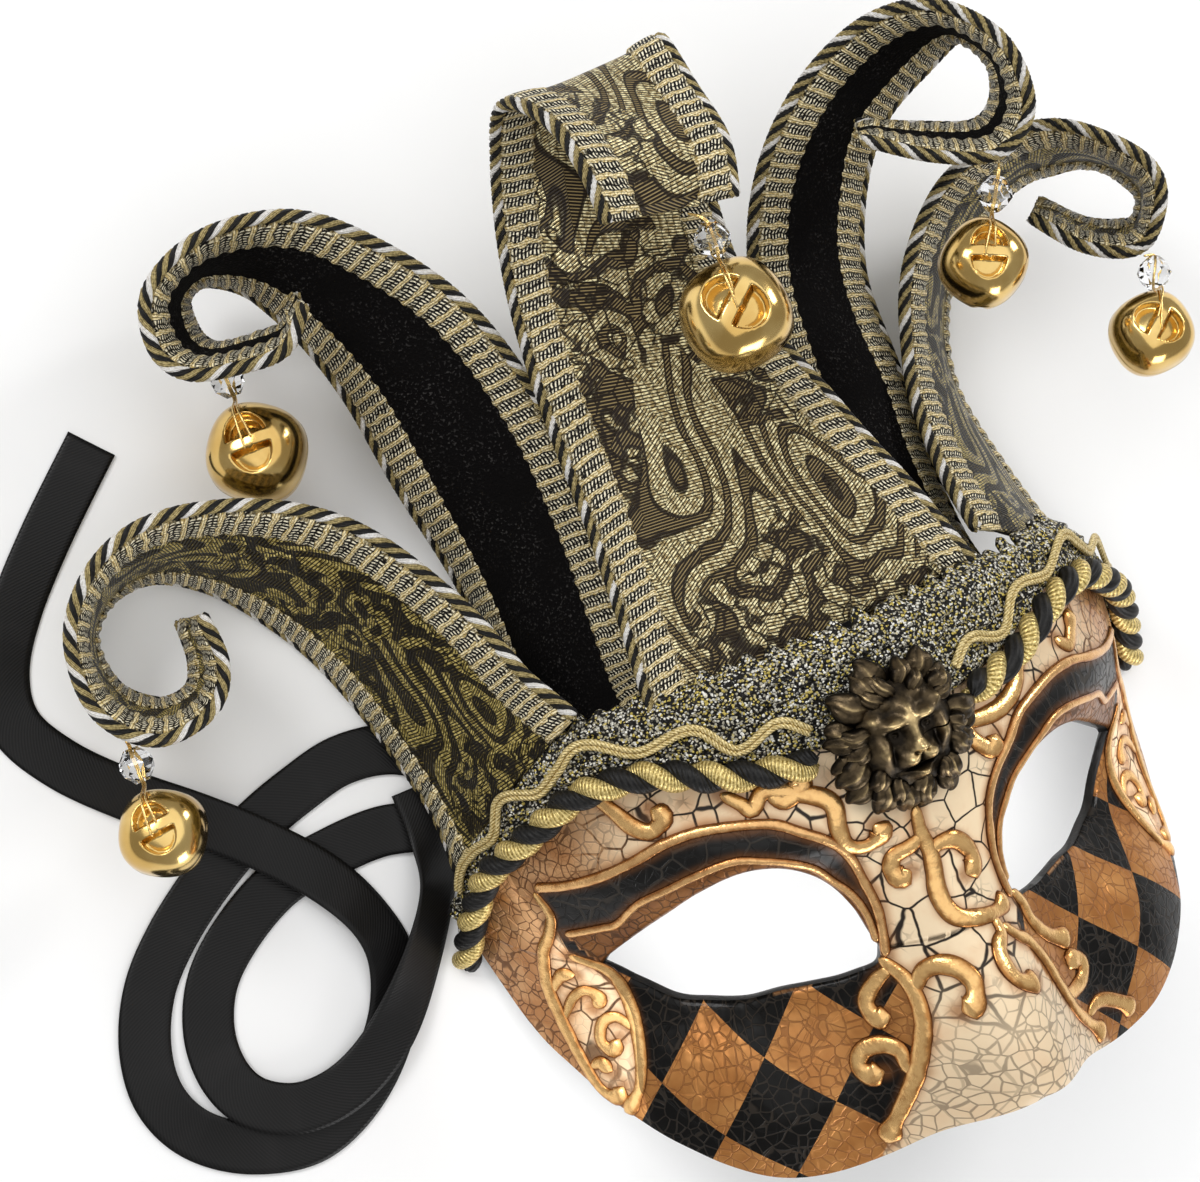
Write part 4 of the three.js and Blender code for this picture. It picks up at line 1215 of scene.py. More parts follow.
@dataclass
class Face:
    """The papier-mache shell, its enamel and its raised scrolls."""

    form: FaceForm = FACE
    below: int = 58
    above: int = 64
    rim_round: float = 0.5
    brow_width: float = 1.15
    lid_width: float = 0.95
    temple_share: float = 0.72
    scroll_sides: int = 15
    lines: list[Array] = field(default_factory=list)

    def columns(self) -> Array:
        """Degrees round the face of the columns, closer together at the eyes' corners."""
        inner, outer = EYE[0][0], EYE[-1][0]
        t = np.linspace(0, 1, 104)
        eye = inner + (outer - inner) * (0.45 * t + 0.55 * (1 - np.cos(math.pi * t)) / 2)
        temple = np.linspace(outer, self.form.turn, 36)[1:]
        side = np.concatenate([eye, temple])
        middle = np.linspace(-inner, inner, 40)[1:-1]
        return np.concatenate([-side[::-1], middle, side])

    def scroll_lines(self) -> list[tuple[float, Array]]:
        """Every raised line with its half width, as (degrees, height) points."""
        found = [(w, np.array(rows, float)) for w, rows in SCROLLS]
        for side in (-1, 1):
            turned = [(self.brow_width, BROW_LINE), (self.lid_width, LID_LINE),
                      *((self.temple_share * w, rows) for w, rows in TEMPLE_SCROLLS)]
            found += [(w, np.array(rows, float) * [side, 1]) for w, rows in turned]
        return found

    def zones(self, turn: Array, height: Array) -> Array:
        """The enamel's tint: shares of cream, band and cheek, and nearness to a scroll."""
        side = np.abs(turn)
        stem = look_up(STEM_SIDE, height)
        panel = look_up(PANEL_INNER, height)
        edge = [(row[0], row[1]) for row in EYE]
        socket = inside(side, height, [*BROW_LINE, *edge, (57, 52)])
        lid = inside(side, height, [*LID_LINE, *edge])
        cheek = (side > stem) & (side < panel) & (height < 56) & ~socket
        outer = look_up(PANEL_OUTER, height)
        fade = np.clip((side - 37) / 12, 0, 1) * (height > 55)
        cream = np.where(side < stem, 1.0, 0.0) * (height < 40) + (height >= 40) * (1 - fade)
        cream = np.where((side > panel) & (side < outer) & (height < 60), 0.75, cream)
        cream = np.where((side >= outer) & (height < 60), 0.0, cream)
        cream = np.where(cheek | socket, 0.0, cream)
        band = np.where(socket, 1.0, 0.0)
        band = np.where(lid, 0.35, band)
        scale = np.array([self.form.per_degree, 1.0])
        spots = np.stack([turn, height], axis=-1) * scale
        gap = nearest(spots, [line * scale for line in self.lines])
        return np.stack([cream, band, cheek * 1.0, np.clip(1.6 - gap / 1.7, 0, 1)], axis=-1)

    def halves(self, out: float) -> list[tuple[Array, Array, Array]]:
        """Grids of degrees, heights and places below and above the eyes, moved outward."""
        turn = self.columns()[None]
        side = np.abs(turn)
        low, high = look_up(LOWER_EDGE, side), look_up(UPPER_EDGE, side)
        eye = (side >= EYE[0][0] - 1e-6) & (side <= EYE[-1][0] + 1e-6)
        past = np.clip((side - EYE[-1][0]) / (self.form.turn - EYE[-1][0]), 0, 1)
        split = np.where(side < 30, EYE[0][1], EYE[-1][1] + past * 11.2)
        shut = (side <= EYE[0][0] + 1e-6) | (side >= EYE[-1][0] - 1e-6)
        lids = [np.where(eye & ~shut, look_up(EYE, side, k), split) for k in (1, 2)]
        made = []
        parts = ((low, lids[0], self.below, True), (lids[1], high, self.above, False))
        for start, end, count, lid_end in parts:
            t = np.linspace(0, 1, count)[:, None]
            height = start + (end - start) * t
            gap = np.abs(height - (end if lid_end else start))
            drop = np.where(eye & ~shut, np.exp(-((gap / self.rim_round) ** 2)), 0) * self.rim_round
            wide = np.broadcast_to(turn, height.shape)
            uneven = 0.12 * ripple(np.stack([wide * 1.3, height], axis=-1), 14.0, 3)
            rise = out + (uneven - drop if out >= 0 else 0)
            made.append((wide, height, self.form.at(wide, height, rise)))
        return made

    def patches(self) -> list[Patch]:
        """The shell: front and back in two halves each, and strips on every rim."""
        front, back = self.halves(0.0), self.halves(-self.form.wall)
        made = []
        for turn, height, places in front:
            tint = self.zones(turn, height)
            made.append(grid(self.form.place(places), turn / 100, height / 100, tint=tint))
        for turn, height, places in back:
            made.append(grid(self.form.place(places), turn / 100, height / 100, slot=1).flipped())
        rims = []
        for f, b in zip(front, back):
            rims.append((f[2][0], b[2][0], False))
            rims.append((f[2][-1], b[2][-1], True))
        ends = [np.concatenate([half[2][:, k] for half in side]) for k in (0, -1)
                for side in (front, back)]
        rims += [(ends[0], ends[1], True), (ends[2], ends[3], False)]
        for outer, inner, turned in rims:
            strip = self.form.place(np.stack([outer, inner]))
            patch = grid(strip, np.linspace(0, 1, strip.shape[1])[None], 0.0, slot=1)
            made.append(patch.flipped() if not turned else patch)
        return made

    def scrollwork(self) -> list[Patch]:
        """Each scroll: a half round on the face, swelling along it, with a bead at its end."""
        made = []
        for wide, rows in self.scroll_lines():
            line = smooth_line(rows, 0.45)
            turn, height = line[:, 0], line[:, 1]
            up = self.form.normal(turn, height)
            path = self.form.at(turn, height)
            gone = gone_along(path)
            t = gone / gone[-1]
            even = wide in (self.brow_width, self.lid_width)
            bulb = np.exp(-(((gone[-1] - gone) / 2.0 - 1.0) ** 2))
            swell = 0.95 + 0.1 * ripple(path, 9.0, 5) if even else (
                0.85 + 0.55 * np.sin(math.pi * t) + 0.85 * bulb)
            ends = np.clip(np.minimum(gone, gone[-1] - gone) / wide, 0.05, 1) ** 0.5
            a = np.linspace(0, 2 * math.pi, self.scroll_sides, endpoint=False)
            tall = 0.8 if even else 0.46
            ring = np.stack([np.cos(a), tall * np.maximum(np.sin(a), -0.3)], axis=-1)
            half = wide * swell * ends * (1 + 0.06 * ripple(path, 3.0, 8))
            profile = half[:, None, None] * ring
            # Bright on each scroll's top and dark on its flanks: painted highlight and painted
            # shade, with the gilt's wear.
            high = np.broadcast_to(np.clip(np.sin(a), 0, 1)[None], (len(path), self.scroll_sides))
            tint = first_only(0.10 + 0.85 * high ** 0.8)
            places = self.form.place(path)
            made.append(sweep(places, self.form.leaned(up), profile, slot=int(even), tint=tint))
        return made

    def build(self) -> None:
        """Builds and dresses the shell and its scrolls."""
        self.lines = [line for _, line in self.scroll_lines()]
        shell = assemble("enamelled_face", self.patches(),
                         [Finish.ENAMEL.material, Finish.LINING.material], weld=True, sharp=50)
        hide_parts("mask_shell")
        gilt = assemble("raised_scrolls", self.scrollwork(),
                        [Finish.GILT.material, Finish.COPPER.material])
        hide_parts("mask_shell")


@dataclass
class Trimmings:
    """The crepe band, the twisted rope and the wavy braid along the brow's top."""

    form: FaceForm = FACE
    rope_radius: float = 3.1
    rope_pitch: float = 11.8
    rope_orbit: float = 1.22
    strand_radius: float = 1.86
    gap: float = 0.35
    band: float = 1.0
    lion: float = 13.9
    braid_rise: float = 6.8
    wave: float = 2.0
    wave_long: float = 16.0
    cord_radius: float = 0.56
    cord_apart: float = 0.55

    def beside(self, turn: Array, away: Array) -> tuple[Array, Array]:
        """A place beside the rope's line: degrees and height, so far from it on the face."""
        step = self.form.per_degree
        slope = (look_up(ROPE_LINE, turn + 0.5) - look_up(ROPE_LINE, turn - 0.5)) / step
        long = np.hypot(1, slope)
        return turn - away * slope / long / step, look_up(ROPE_LINE, turn) + away / long

    def crepe(self) -> None:
        """The band: gathered cloth from the rope over the points' feet, rolled in at its top."""
        turn = np.linspace(-76.5, 76.5, 400)
        side = np.abs(turn)
        low_turn, low = self.beside(np.linspace(0, 76.5, 200), np.full(200, 1.5))
        bottom = np.maximum(np.interp(side, low_turn, low), look_up(LOWER_EDGE, side))[None]
        top = look_up(UPPER_EDGE, side)[None]
        t = np.linspace(0, 1, 36)[:, None]
        extra = 5.2 * np.clip((80 - side) / 10, 0.25, 1)[None]
        frill = 1 + 0.35 * ripple(turn[:, None], 4.5, 13)[None]
        height = bottom + (top + extra * frill - bottom) * t
        wide = np.broadcast_to(turn[None], height.shape)
        over = np.clip((height - top) / extra, 0, 1)
        flat = np.stack([wide * self.form.per_degree, height * 2.2], axis=-1)
        puff = 0.85 * ripple(flat, 8.0, 11) + 0.55 * ripple(flat, 3.4, 12)
        edge = np.clip(np.minimum(t, 1 - t) * 14, 0, 1)
        out = self.gap + self.band + (0.9 + puff) * edge - 3.6 * over ** 2
        front = self.form.at(wide, height, out)
        back = self.form.at(wide, height, np.minimum(out - 0.9, self.gap))
        ring = np.concatenate([front, back[::-1]]).transpose(1, 0, 2)
        v = turn[:, None] * self.form.per_degree / 10
        patch = grid(self.form.place(ring), np.linspace(0, 1, ring.shape[1] + 1)[None], v,
                     closed=True, capped=True)
        made = assemble("crepe_gathers", [patch], [Finish.LUREX.material])
        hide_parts("crepe_band")

    def ropes(self) -> None:
        """A strand of black satin and one of gold, laid together on each side."""
        for name, side in (("left", -1), ("right", 1)):
            turn = np.linspace(self.lion - 2.5, 76.8, 360)
            up = self.form.normal(side * turn, look_up(ROPE_LINE, turn))
            path = self.form.at(side * turn, look_up(ROPE_LINE, turn), self.rope_radius + self.gap)
            parts = strands(self.form.place(path), self.form.leaned(up), 2, self.rope_pitch,
                            self.rope_orbit, self.strand_radius, (0, 1), sides=18, start=0.2,
                            hand=side)
            made = assemble(f"rope_{name}_twist", parts,
                            [Finish.BLACK_YARN.material, Finish.GOLD_YARN.material])
            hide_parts(f"rope_{name}")

    def soutache(self) -> None:
        """The wavy braid above the rope: two round cords side by side."""
        for name, side in (("left", -1), ("right", 1)):
            turn = np.linspace(self.lion - 2.5, 68, 340)
            swing = self.wave * np.sin(2 * math.pi * turn * self.form.per_degree / self.wave_long)
            fade = np.clip((70 - turn) / 16, 0.45, 1)
            away = self.braid_rise * (0.55 + 0.45 * fade) + swing * fade
            round_, height = self.beside(turn, away)
            up = self.form.normal(side * round_, height)
            path = self.form.at(side * round_, height, self.gap * 2 + self.band + 1.5)
            placed, up = self.form.place(path), self.form.leaned(up)
            _, across, _ = frames_along(placed, up)
            ring = circle(10, np.full(len(path), self.cord_radius))
            parts = [sweep(placed + k * self.cord_apart * across, up, ring) for k in (-1, 1)]
            made = assemble(f"soutache_{name}_braid", parts, [Finish.SOUTACHE.material])
            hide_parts(f"soutache_{name}")

    def build(self) -> None:
        """Builds and dresses them all."""
        self.crepe()
        self.ropes()
        self.soutache()


@dataclass
class Lion:
    """The cast lion's head: a modelled face in three rings of mane locks."""

    form: FaceForm = FACE
    face_radius: float = 10.2
    dome: float = 4.4
    base: float = 2.85

    def features(self, x: Array, y: Array) -> Array:
        """The face's relief: Gaussian hills and hollows, alike on both sides."""
        side = np.abs(x)

        def hill(high: float, cx: float, cy: float, sx: float, sy: float) -> Array:
            """One hill, or a hollow where high is negative."""
            return high * np.exp(-(((side - cx) / sx) ** 2) - ((y - cy) / sy) ** 2)

        return sum(hill(*row) for row in (
            (2.3, 3.0, 3.5, 2.2, 1.0), (1.5, 0.0, 5.4, 1.5, 1.7), (-1.2, 3.1, 1.7, 1.4, 0.8),
            (1.2, 3.1, 1.5, 0.72, 0.5), (2.1, 0.0, 1.4, 1.25, 3.0), (2.5, 0.0, -1.5, 1.75, 1.15),
            (-1.1, 0.95, -2.3, 0.42, 0.34), (2.5, 1.9, -3.5, 1.7, 1.25),
            (-1.1, 0.0, -3.8, 0.24, 1.0), (-1.5, 1.1, -5.2, 2.4, 0.38), (2.2, 0.0, -6.5, 1.6, 1.0),
            (1.7, 5.8, -0.8, 1.5, 2.6), (-0.9, 4.2, -2.0, 0.6, 1.9), (1.6, 6.4, 5.0, 1.5, 1.3),
            (0.8, 3.2, 7.0, 1.2, 1.0),
        ))

    def face(self) -> Patch:
        """The middle: a dome under the features, on rings about its top."""
        r = np.linspace(0, 1, 64)[:, None] ** 0.9 * self.face_radius
        a = np.linspace(0, 2 * math.pi, 120, endpoint=False)[None]
        x, y = r * np.cos(a), r * np.sin(a) * 1.05
        dome = self.dome * np.sqrt(np.clip(1 - (r / (self.face_radius * 1.02)) ** 2, 0, 1))
        raised = 1.1 * self.features(x / 1.1, y / 1.08)
        fade = np.clip((self.face_radius - r) / 1.4, 0, 1)
        z = self.base + dome + raised * fade
        # Brighter on the raised features: the cast's wear and painted highlight.
        wear_and_painted_light = np.clip(0.30 + raised * 0.26, 0, 0.95)
        return grid(np.stack([x, y, z], axis=-1), x / 10, y / 10, tint=first_only(wear_and_painted_light))

    def lock(self, angle: float, start: float, long: float, wide: float, high: float,
             bend: float, lift: float) -> Patch:
        """A lock: a grooved, pointed form on a line that bends sideways and falls.

        Args:
            angle: degrees round the head.
            start: distance of its root from the middle.
            long: its length.
            wide: its widest half width.
            high: its height over its line.
            bend: degrees that it turns through.
            lift: height of its root.

        Returns:
            The patch.
        """
        t = np.linspace(0, 1, 30)
        sway = math.copysign(0.55, bend) * np.sin(2 * math.pi * t)
        heading = math.radians(angle) + np.radians(bend) * (t - 0.2) + sway
        ways = np.stack([np.cos(heading), np.sin(heading)], axis=-1) * long / 29
        root = start * np.array([math.cos(math.radians(angle)), math.sin(math.radians(angle))])
        line = root + np.cumsum(ways, axis=0)
        z = lift * (1 - t ** 1.6) + 0.8 + 0.7 * np.sin(math.pi * t)
        swell = np.sin(math.pi * np.clip(0.16 + 0.82 * t, 0, 1)) ** 0.7
        a = np.linspace(0, 2 * math.pi, 24, endpoint=False)
        groove = 1 - 0.5 * np.exp(-(((np.abs(np.cos(a)) - 0.36) / 0.13) ** 2))
        top = np.maximum(np.sin(a), 0) * groove
        tall = np.where(np.sin(a) > 0, top * high, np.sin(a) * 0.6)
        profile = swell[:, None, None] * np.stack([np.cos(a) * wide, tall], axis=-1)
        # Brighter on each lock's top, most where it swells: wear and painted highlight.
        wear_and_painted_light = np.clip(0.80 * top[None] ** 1.5 * (0.35 + 0.65 * swell[:, None]), 0, 1)
        path = np.concatenate([line, z[:, None]], axis=1)
        up = np.broadcast_to(np.array([0.0, 0.0, 1.0]), path.shape)
        return sweep(path, up, profile, tint=first_only(wear_and_painted_light))

    def mane(self) -> list[Patch]:
        """Locks in three rings, bending down on either side, no two of a size."""
        rng = np.random.default_rng(11)
        made = []
        # How many, distance of their roots, length, half width, height, lift, degrees turned
        for count, start, long, wide, high, lift, turn in (
            (12, 10.1, 6.2, 3.1, 1.8, 1.0, 4), (12, 9.3, 6.0, 2.7, 2.1, 2.7, 15),
            (12, 8.4, 5.0, 2.1, 2.0, 4.0, 2),
        ):
            for number in range(count):
                angle = turn + 360 * number / count + rng.uniform(-9, 9)
                side = 1 if math.cos(math.radians(angle)) > 0 else -1
                made.append(self.lock(angle, start, long * rng.uniform(0.72, 1.2),
                                      wide * rng.uniform(0.8, 1.2), high * rng.uniform(0.8, 1.2),
                                      -side * rng.uniform(30, 105), lift))
        return made

    def build(self) -> None:
        """Builds the head and sets it on the middle of the band."""
        at = self.form.at(0.0, float(look_up(ROPE_LINE, np.array(0.0))), 2.5)
        parts = [self.face(), *self.mane(), *self.plate()]
        for part in parts:
            part.points = self.form.place(part.points + at)
        made = assemble("lion_cast", parts, [Finish.BRONZE.material])
        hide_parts("lion_head")

    def plate(self) -> list[Patch]:
        """The flat back: a low drum under the face and the locks' roots."""
        path = np.stack([np.zeros(8), np.zeros(8), np.linspace(-0.4, 3.4, 8)], axis=-1)
        up = np.broadcast_to(np.array([0.0, 1.0, 0.0]), path.shape)
        radius = np.array([9.5, 11.5, 12.4, 12.2, 11.4, 10.2, 8.8, 7.5])
        return [sweep(path, up, circle(40, radius), tint=np.zeros((8, 40, 4)))]


@dataclass
class CrownPoint:
    """A point of the crown: cloth between two braids, each with a twisted cord."""

    name: str
    rows: Rows
    cloth: Finish
    form: FaceForm = FACE
    fine: int = 13
    cloth_thick: float = 2.0
    trim_thick: float = 3.2
    trim_width: float = 8.5
    trim_share: float = 0.4
    foot_bow: float = 0.07
    tip_bow: float = 0.03
    rib: float = 3.0
    cloth_steps: int = 20
    braid_steps: int = 11
    cord_pitch: float = 8.6
    cord_orbit: float = 0.80
    strand_radius: float = 0.60

    def __post_init__(self) -> None:
        """Works out the frames at close steps up the point."""
        last = len(self.rows) - 1
        at = np.linspace(0, last, self.fine * last + 1)
        before = rows_at(self.rows, np.clip(at - 0.25, 0, last))[:, :3]
        after = rows_at(self.rows, np.clip(at + 0.25, 0, last))[:, :3]
        columns = rows_at(self.rows, at)
        along = unit((after - before) * self.form.sizes)
        across = columns[:, 3:6]
        across = unit(across - (across * along).sum(1, keepdims=True) * along)
        self.middle = columns[:, :3] * self.form.sizes / 100
        self.across = across
        self.outward = np.cross(along, across)
        self.width = columns[:, 6] * self.form.half_width / 100
        self.bow = self.width * (self.foot_bow + (self.tip_bow - self.foot_bow) * at / last)
        self.gone = gone_along(self.middle)
        self.trim = np.minimum(self.trim_width, self.trim_share * self.width)

    def on(self, share: Array, out: Array) -> Array:
        """Places on every section: shares across, from -0.5 to 0.5, and millimetres outward."""
        arch = self.bow[:, None] * (1 - 4 * share ** 2) - self.bow[:, None] / 2
        return (
            self.middle[:, None]
            + (share * self.width[:, None])[..., None] * self.across[:, None]
            + (arch + out)[..., None] * self.outward[:, None]
        )

    def body(self) -> None:
        """The cloth: both faces of a thin sheet that runs on under the braids."""
        edge = 0.5 - (self.trim - 2.2) / self.width
        n = self.cloth_steps
        t = np.concatenate([np.linspace(-1, 1, n), np.linspace(1, -1, n)])[None]
        share = edge[:, None] * t
        side = np.where(np.arange(2 * n) < n, 1.0, -1.0)[None]
        gone = self.gone[:, None]
        wide = share * self.width[:, None]
        spots = np.stack([wide, np.broadcast_to(gone, share.shape)], -1)
        uneven = 0.35 * ripple(spots, 26.0, len(self.name))
        ends = np.clip(gone / 6, 0.2, 1) * np.clip((gone[-1] - gone) / 3, 0.2, 1)
        places = self.on(share, side * self.cloth_thick / 2 * ends + uneven)
        u = np.concatenate([wide, wide[:, :1]], axis=1) / 100
        patch = grid(self.form.place(places), u, gone / 100, closed=True, capped=True)
        made = assemble(f"cloth_{self.name}", [patch], [self.cloth.material])
        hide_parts(f"point_{self.name}")

    def braid(self, edge: str, side: int) -> None:
        """A braid: a domed band with ribs and scalloped sides, and the cord on its outer edge."""
        count = int(self.gone[-1] / self.rib * 8)
        even = np.linspace(0, self.gone[-1], count)

        def spread(values: Array) -> Array:
            """Values up the point, read at even steps."""
            columns = values.reshape(len(values), -1).T
            read = np.stack([np.interp(even, self.gone, c) for c in columns], -1)
            return read.reshape(count, *values.shape[1:])

        width, trim = spread(self.width), spread(self.trim)
        middle, across, outward = spread(self.middle), spread(self.across), spread(self.outward)
        bow = spread(self.bow)
        swell = 0.9 + 0.4 * ripple(even[:, None], 9.0, 4)
        wave = (np.cos(2 * math.pi * (even / self.rib - 0.2)) * swell)[:, None]
        m = self.braid_steps
        t = np.concatenate([np.linspace(0, 1, m), np.linspace(1, 0, m)])[None]
        face = np.where(np.arange(2 * m) < m, 1.0, -1.0)[None]
        scallop = 0.28 * wave * (1 - 2 * t) / width[:, None] * ((t < 0.08) | (t > 0.92))
        inner, outer = 0.5 - trim / width, 0.5 - 1.3 / width
        share = inner[:, None] + (outer - inner)[:, None] * t - scallop
        dome = np.sqrt(np.clip(1 - np.abs(2 * t - 1) ** 3.2, 0, 1))
        rib = 0.24 * wave * np.clip(dome * 1.4, 0, 1)
        lip = 0.16 * np.exp(-(((np.abs(2 * t - 1) - 0.86) / 0.09) ** 2))
        out = face * (self.trim_thick / 2 * (0.30 + 0.70 * dome) + rib + lip)
        taper = np.clip(np.minimum(even, even[-1] - even) / 2.0, 0.25, 1)[:, None]
        arch = bow[:, None] * (1 - 4 * share ** 2) - bow[:, None] / 2
        places = (
            middle[:, None]
            + (side * share * width[:, None])[..., None] * across[:, None]
            + (arch + out * taper)[..., None] * outward[:, None]
        )
        border = np.broadcast_to(np.clip((np.abs(2 * t - 1) - 0.72) / 0.16, 0, 1), share.shape)
        zero = np.zeros_like(border)
        tint = np.stack([zero, zero, zero, border], axis=-1)
        u = np.concatenate([t * 0.42, t[:, :1] * 0.42], axis=1)
        band = grid(self.form.place(places), u, even[:, None] / 10, closed=True, capped=True,
                    tint=tint)
        lip_share = side * (0.5 - 1.0 / width)
        cord = middle + (lip_share * width)[:, None] * across + (
            bow * (1 - 4 * lip_share ** 2) - bow / 2)[:, None] * outward
        step = slice(None, None, 2)
        parts = strands(self.form.place(cord[step]), self.form.leaned(outward[step]), 5,
                        self.cord_pitch, self.cord_orbit, self.strand_radius, (1, 2, 1, 3, 2),
                        sides=6, start=0.3 * len(self.name), hand=-side)
        made = assemble(f"braid_{self.name}_{edge}", [band, *parts],
                        [Finish.GIMP.material, Finish.BLACK_YARN.material,
                         Finish.TAN_YARN.material, Finish.WHITE_YARN.material])
        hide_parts(f"trim_{self.name}_{edge}")

    def build(self) -> None:
        """Builds and dresses the point."""
        self.body()
        self.braid("a", 1)
        self.braid("b", -1)


@dataclass
class Bell:
    """A jingle bell on its wire, below a faceted crystal bead."""

    name: str
    row: float
    side: float
    to_bead: Colour
    to_bell: Colour
    spin: float
    size: float
    full_radius: float = 8.8
    bead_radius: float = 3.5
    bead_half: float = 3.3
    wire: float = 0.3
    clear: float = 1.29
    rows: int = 94
    columns: int = 108

    def __post_init__(self) -> None:
        """Finds the stitch, the bead and the bell from the point's edge, in the row frame."""
        point = CrownPoint(self.name, POINTS[self.name], Finish.VELVET)
        number = int(round(self.row * point.fine))
        edge = point.on(np.array([[self.side * 0.5]]), np.zeros((1, 1)))[number, 0]
        hang = unit(np.array(self.to_bell, float))
        bead = edge + np.array(self.to_bead)
        bell = bead + hang * (self.radius + self.bead_half + 2)
        crown = unit(np.array([-0.27, 0.23, 0.87]) - 0.22 * hang)
        stitch = edge + unit(np.array(self.to_bead, float)) * self.clear
        form = point.form
        self.stitch, self.bead, self.bell = (form.place(p) for p in (stitch, bead, bell))
        self.hang, self.crown = form.leaned(hang), form.leaned(crown)

    @property
    def radius(self) -> float:
        """The bell's own radius."""
        return self.full_radius * self.size

    def axes(self) -> Array:
        """The bell's own directions: along its two recesses, its crown, and across them."""
        level = unit(self.hang - (self.hang @ self.crown) * self.crown)
        other = np.cross(self.crown, level)
        a = math.radians(self.spin)
        first = math.cos(a) * level + math.sin(a) * other
        return np.stack([first, self.crown, np.cross(first, self.crown)])

    def body(self) -> None:
        """The bell: a squarish ball pressed in at two D-shaped recesses, slotted below."""
        r = self.radius
        phi = np.linspace(0, math.pi, self.rows)[:, None]
        a = np.linspace(0, 2 * math.pi, self.columns, endpoint=False)[None]

        def soft(x: Array) -> Array:
            """A sine drawn towards a square."""
            return np.sign(x) * np.abs(x) ** 0.82

        ring = r * soft(np.sin(phi)) * (1 + 0.03 * np.cos(4 * a + 0.7))
        x, z = ring * np.cos(a), ring * np.sin(a)
        y = r * soft(np.cos(phi)) * np.ones_like(a)
        away = np.abs(x) - 0.11 * r
        oval = 1 - np.sqrt(np.maximum(away / (0.52 * r), 0) ** 2 + (z / (0.43 * r)) ** 2)
        step = np.clip(np.minimum(away / (0.07 * r), oval / 0.16), 0, 1)
        step = np.where(y > 0, step * step * (3 - 2 * step), 0)
        y = y - step * 0.32 * r * (1 - 0.35 * np.clip(1 - np.abs(x) / (0.6 * r), 0, 1))
        under = np.clip(-y / (0.5 * r), 0, 1)
        lips = 0.35 * np.exp(-(((np.abs(z) - 1.7) / 0.5) ** 2))
        y = y + under * (1.7 * np.exp(-((z / 0.85) ** 2)) - lips)
        seam = 1 + 0.014 * np.exp(-(((y + 0.08 * r) / 0.22) ** 2))
        places = np.stack([x * seam, y, z * seam], axis=-1) @ self.axes() + self.bell
        slot = under * np.exp(-((z / 0.8) ** 4))
        tint = first_only(np.clip(step + slot, 0, 1))
        u = np.linspace(0, 1, self.columns + 1)[None]
        patch = grid(places, u, phi, closed=True, tint=tint)
        patch = patch.flipped() if patch.volume() < 0 else patch
        made = assemble(f"jingle_{self.name}", [patch], [Finish.BRASS.material], weld=True)
        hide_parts(f"bell_{self.name}")

    def crystal(self) -> None:
        """The bead: five rings of eight corners, each half a step round from the last."""
        heights = np.array([-1, -0.42, 0.0, 0.42, 1]) * self.bead_half
        radii = np.array([0.42, 0.86, 1.0, 0.86, 0.42]) * self.bead_radius
        turned = np.array([[0], [0.5], [0], [0.5], [0]]) * math.pi / 4
        a = np.linspace(0, 2 * math.pi, 8, endpoint=False)[None] + turned
        first = unit(np.cross(self.hang, [0.3, 0.2, 1.0]))
        second = np.cross(self.hang, first)
        places = (
            self.bead
            + (radii[:, None] * np.cos(a))[..., None] * first
            + (radii[:, None] * np.sin(a))[..., None] * second
            + heights[:, None, None] * self.hang
        )
        patch = grid(places, np.linspace(0, 1, 9)[None], 0.0, closed=True, capped=True)
        made = assemble(f"crystal_{self.name}", [patch], [Finish.CRYSTAL.material], sharp=2)
        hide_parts(f"bead_{self.name}")

    def wires(self) -> None:
        """The wire: down through the bead, then two runs that meet on the bell's bridge."""
        first, _, other = self.axes()
        top = self.bead - self.hang * (self.bead_half + 0.2)
        low = self.bead + self.hang * (self.bead_half + 0.1)
        bridge = self.bell + self.crown * (self.radius + self.wire * 0.6)
        shoulder = self.bell + unit(self.crown - 0.8 * self.hang) * self.radius * 1.22
        parts = []
        for side in (-1, 1):
            ends = [self.stitch, top + side * 0.16 * other, low + side * 0.2 * other,
                    shoulder + side * 0.45 * other, bridge + side * (0.75 * first + 0.9 * other),
                    bridge - 1.6 * self.crown + side * 0.5 * other + side * 0.9 * first]
            path = smooth_line(np.array(ends), 0.22)
            up = np.broadcast_to(self.crown, path.shape)
            parts.append(sweep(path, up, circle(8, np.full(len(path), self.wire * 0.75))))
        made = assemble(f"wire_{self.name}_run", parts, [Finish.WIRE.material])
        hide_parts(f"wire_{self.name}")

    def build(self) -> None:
        """Builds and dresses the three."""
        self.body()
        self.crystal()
        self.wires()


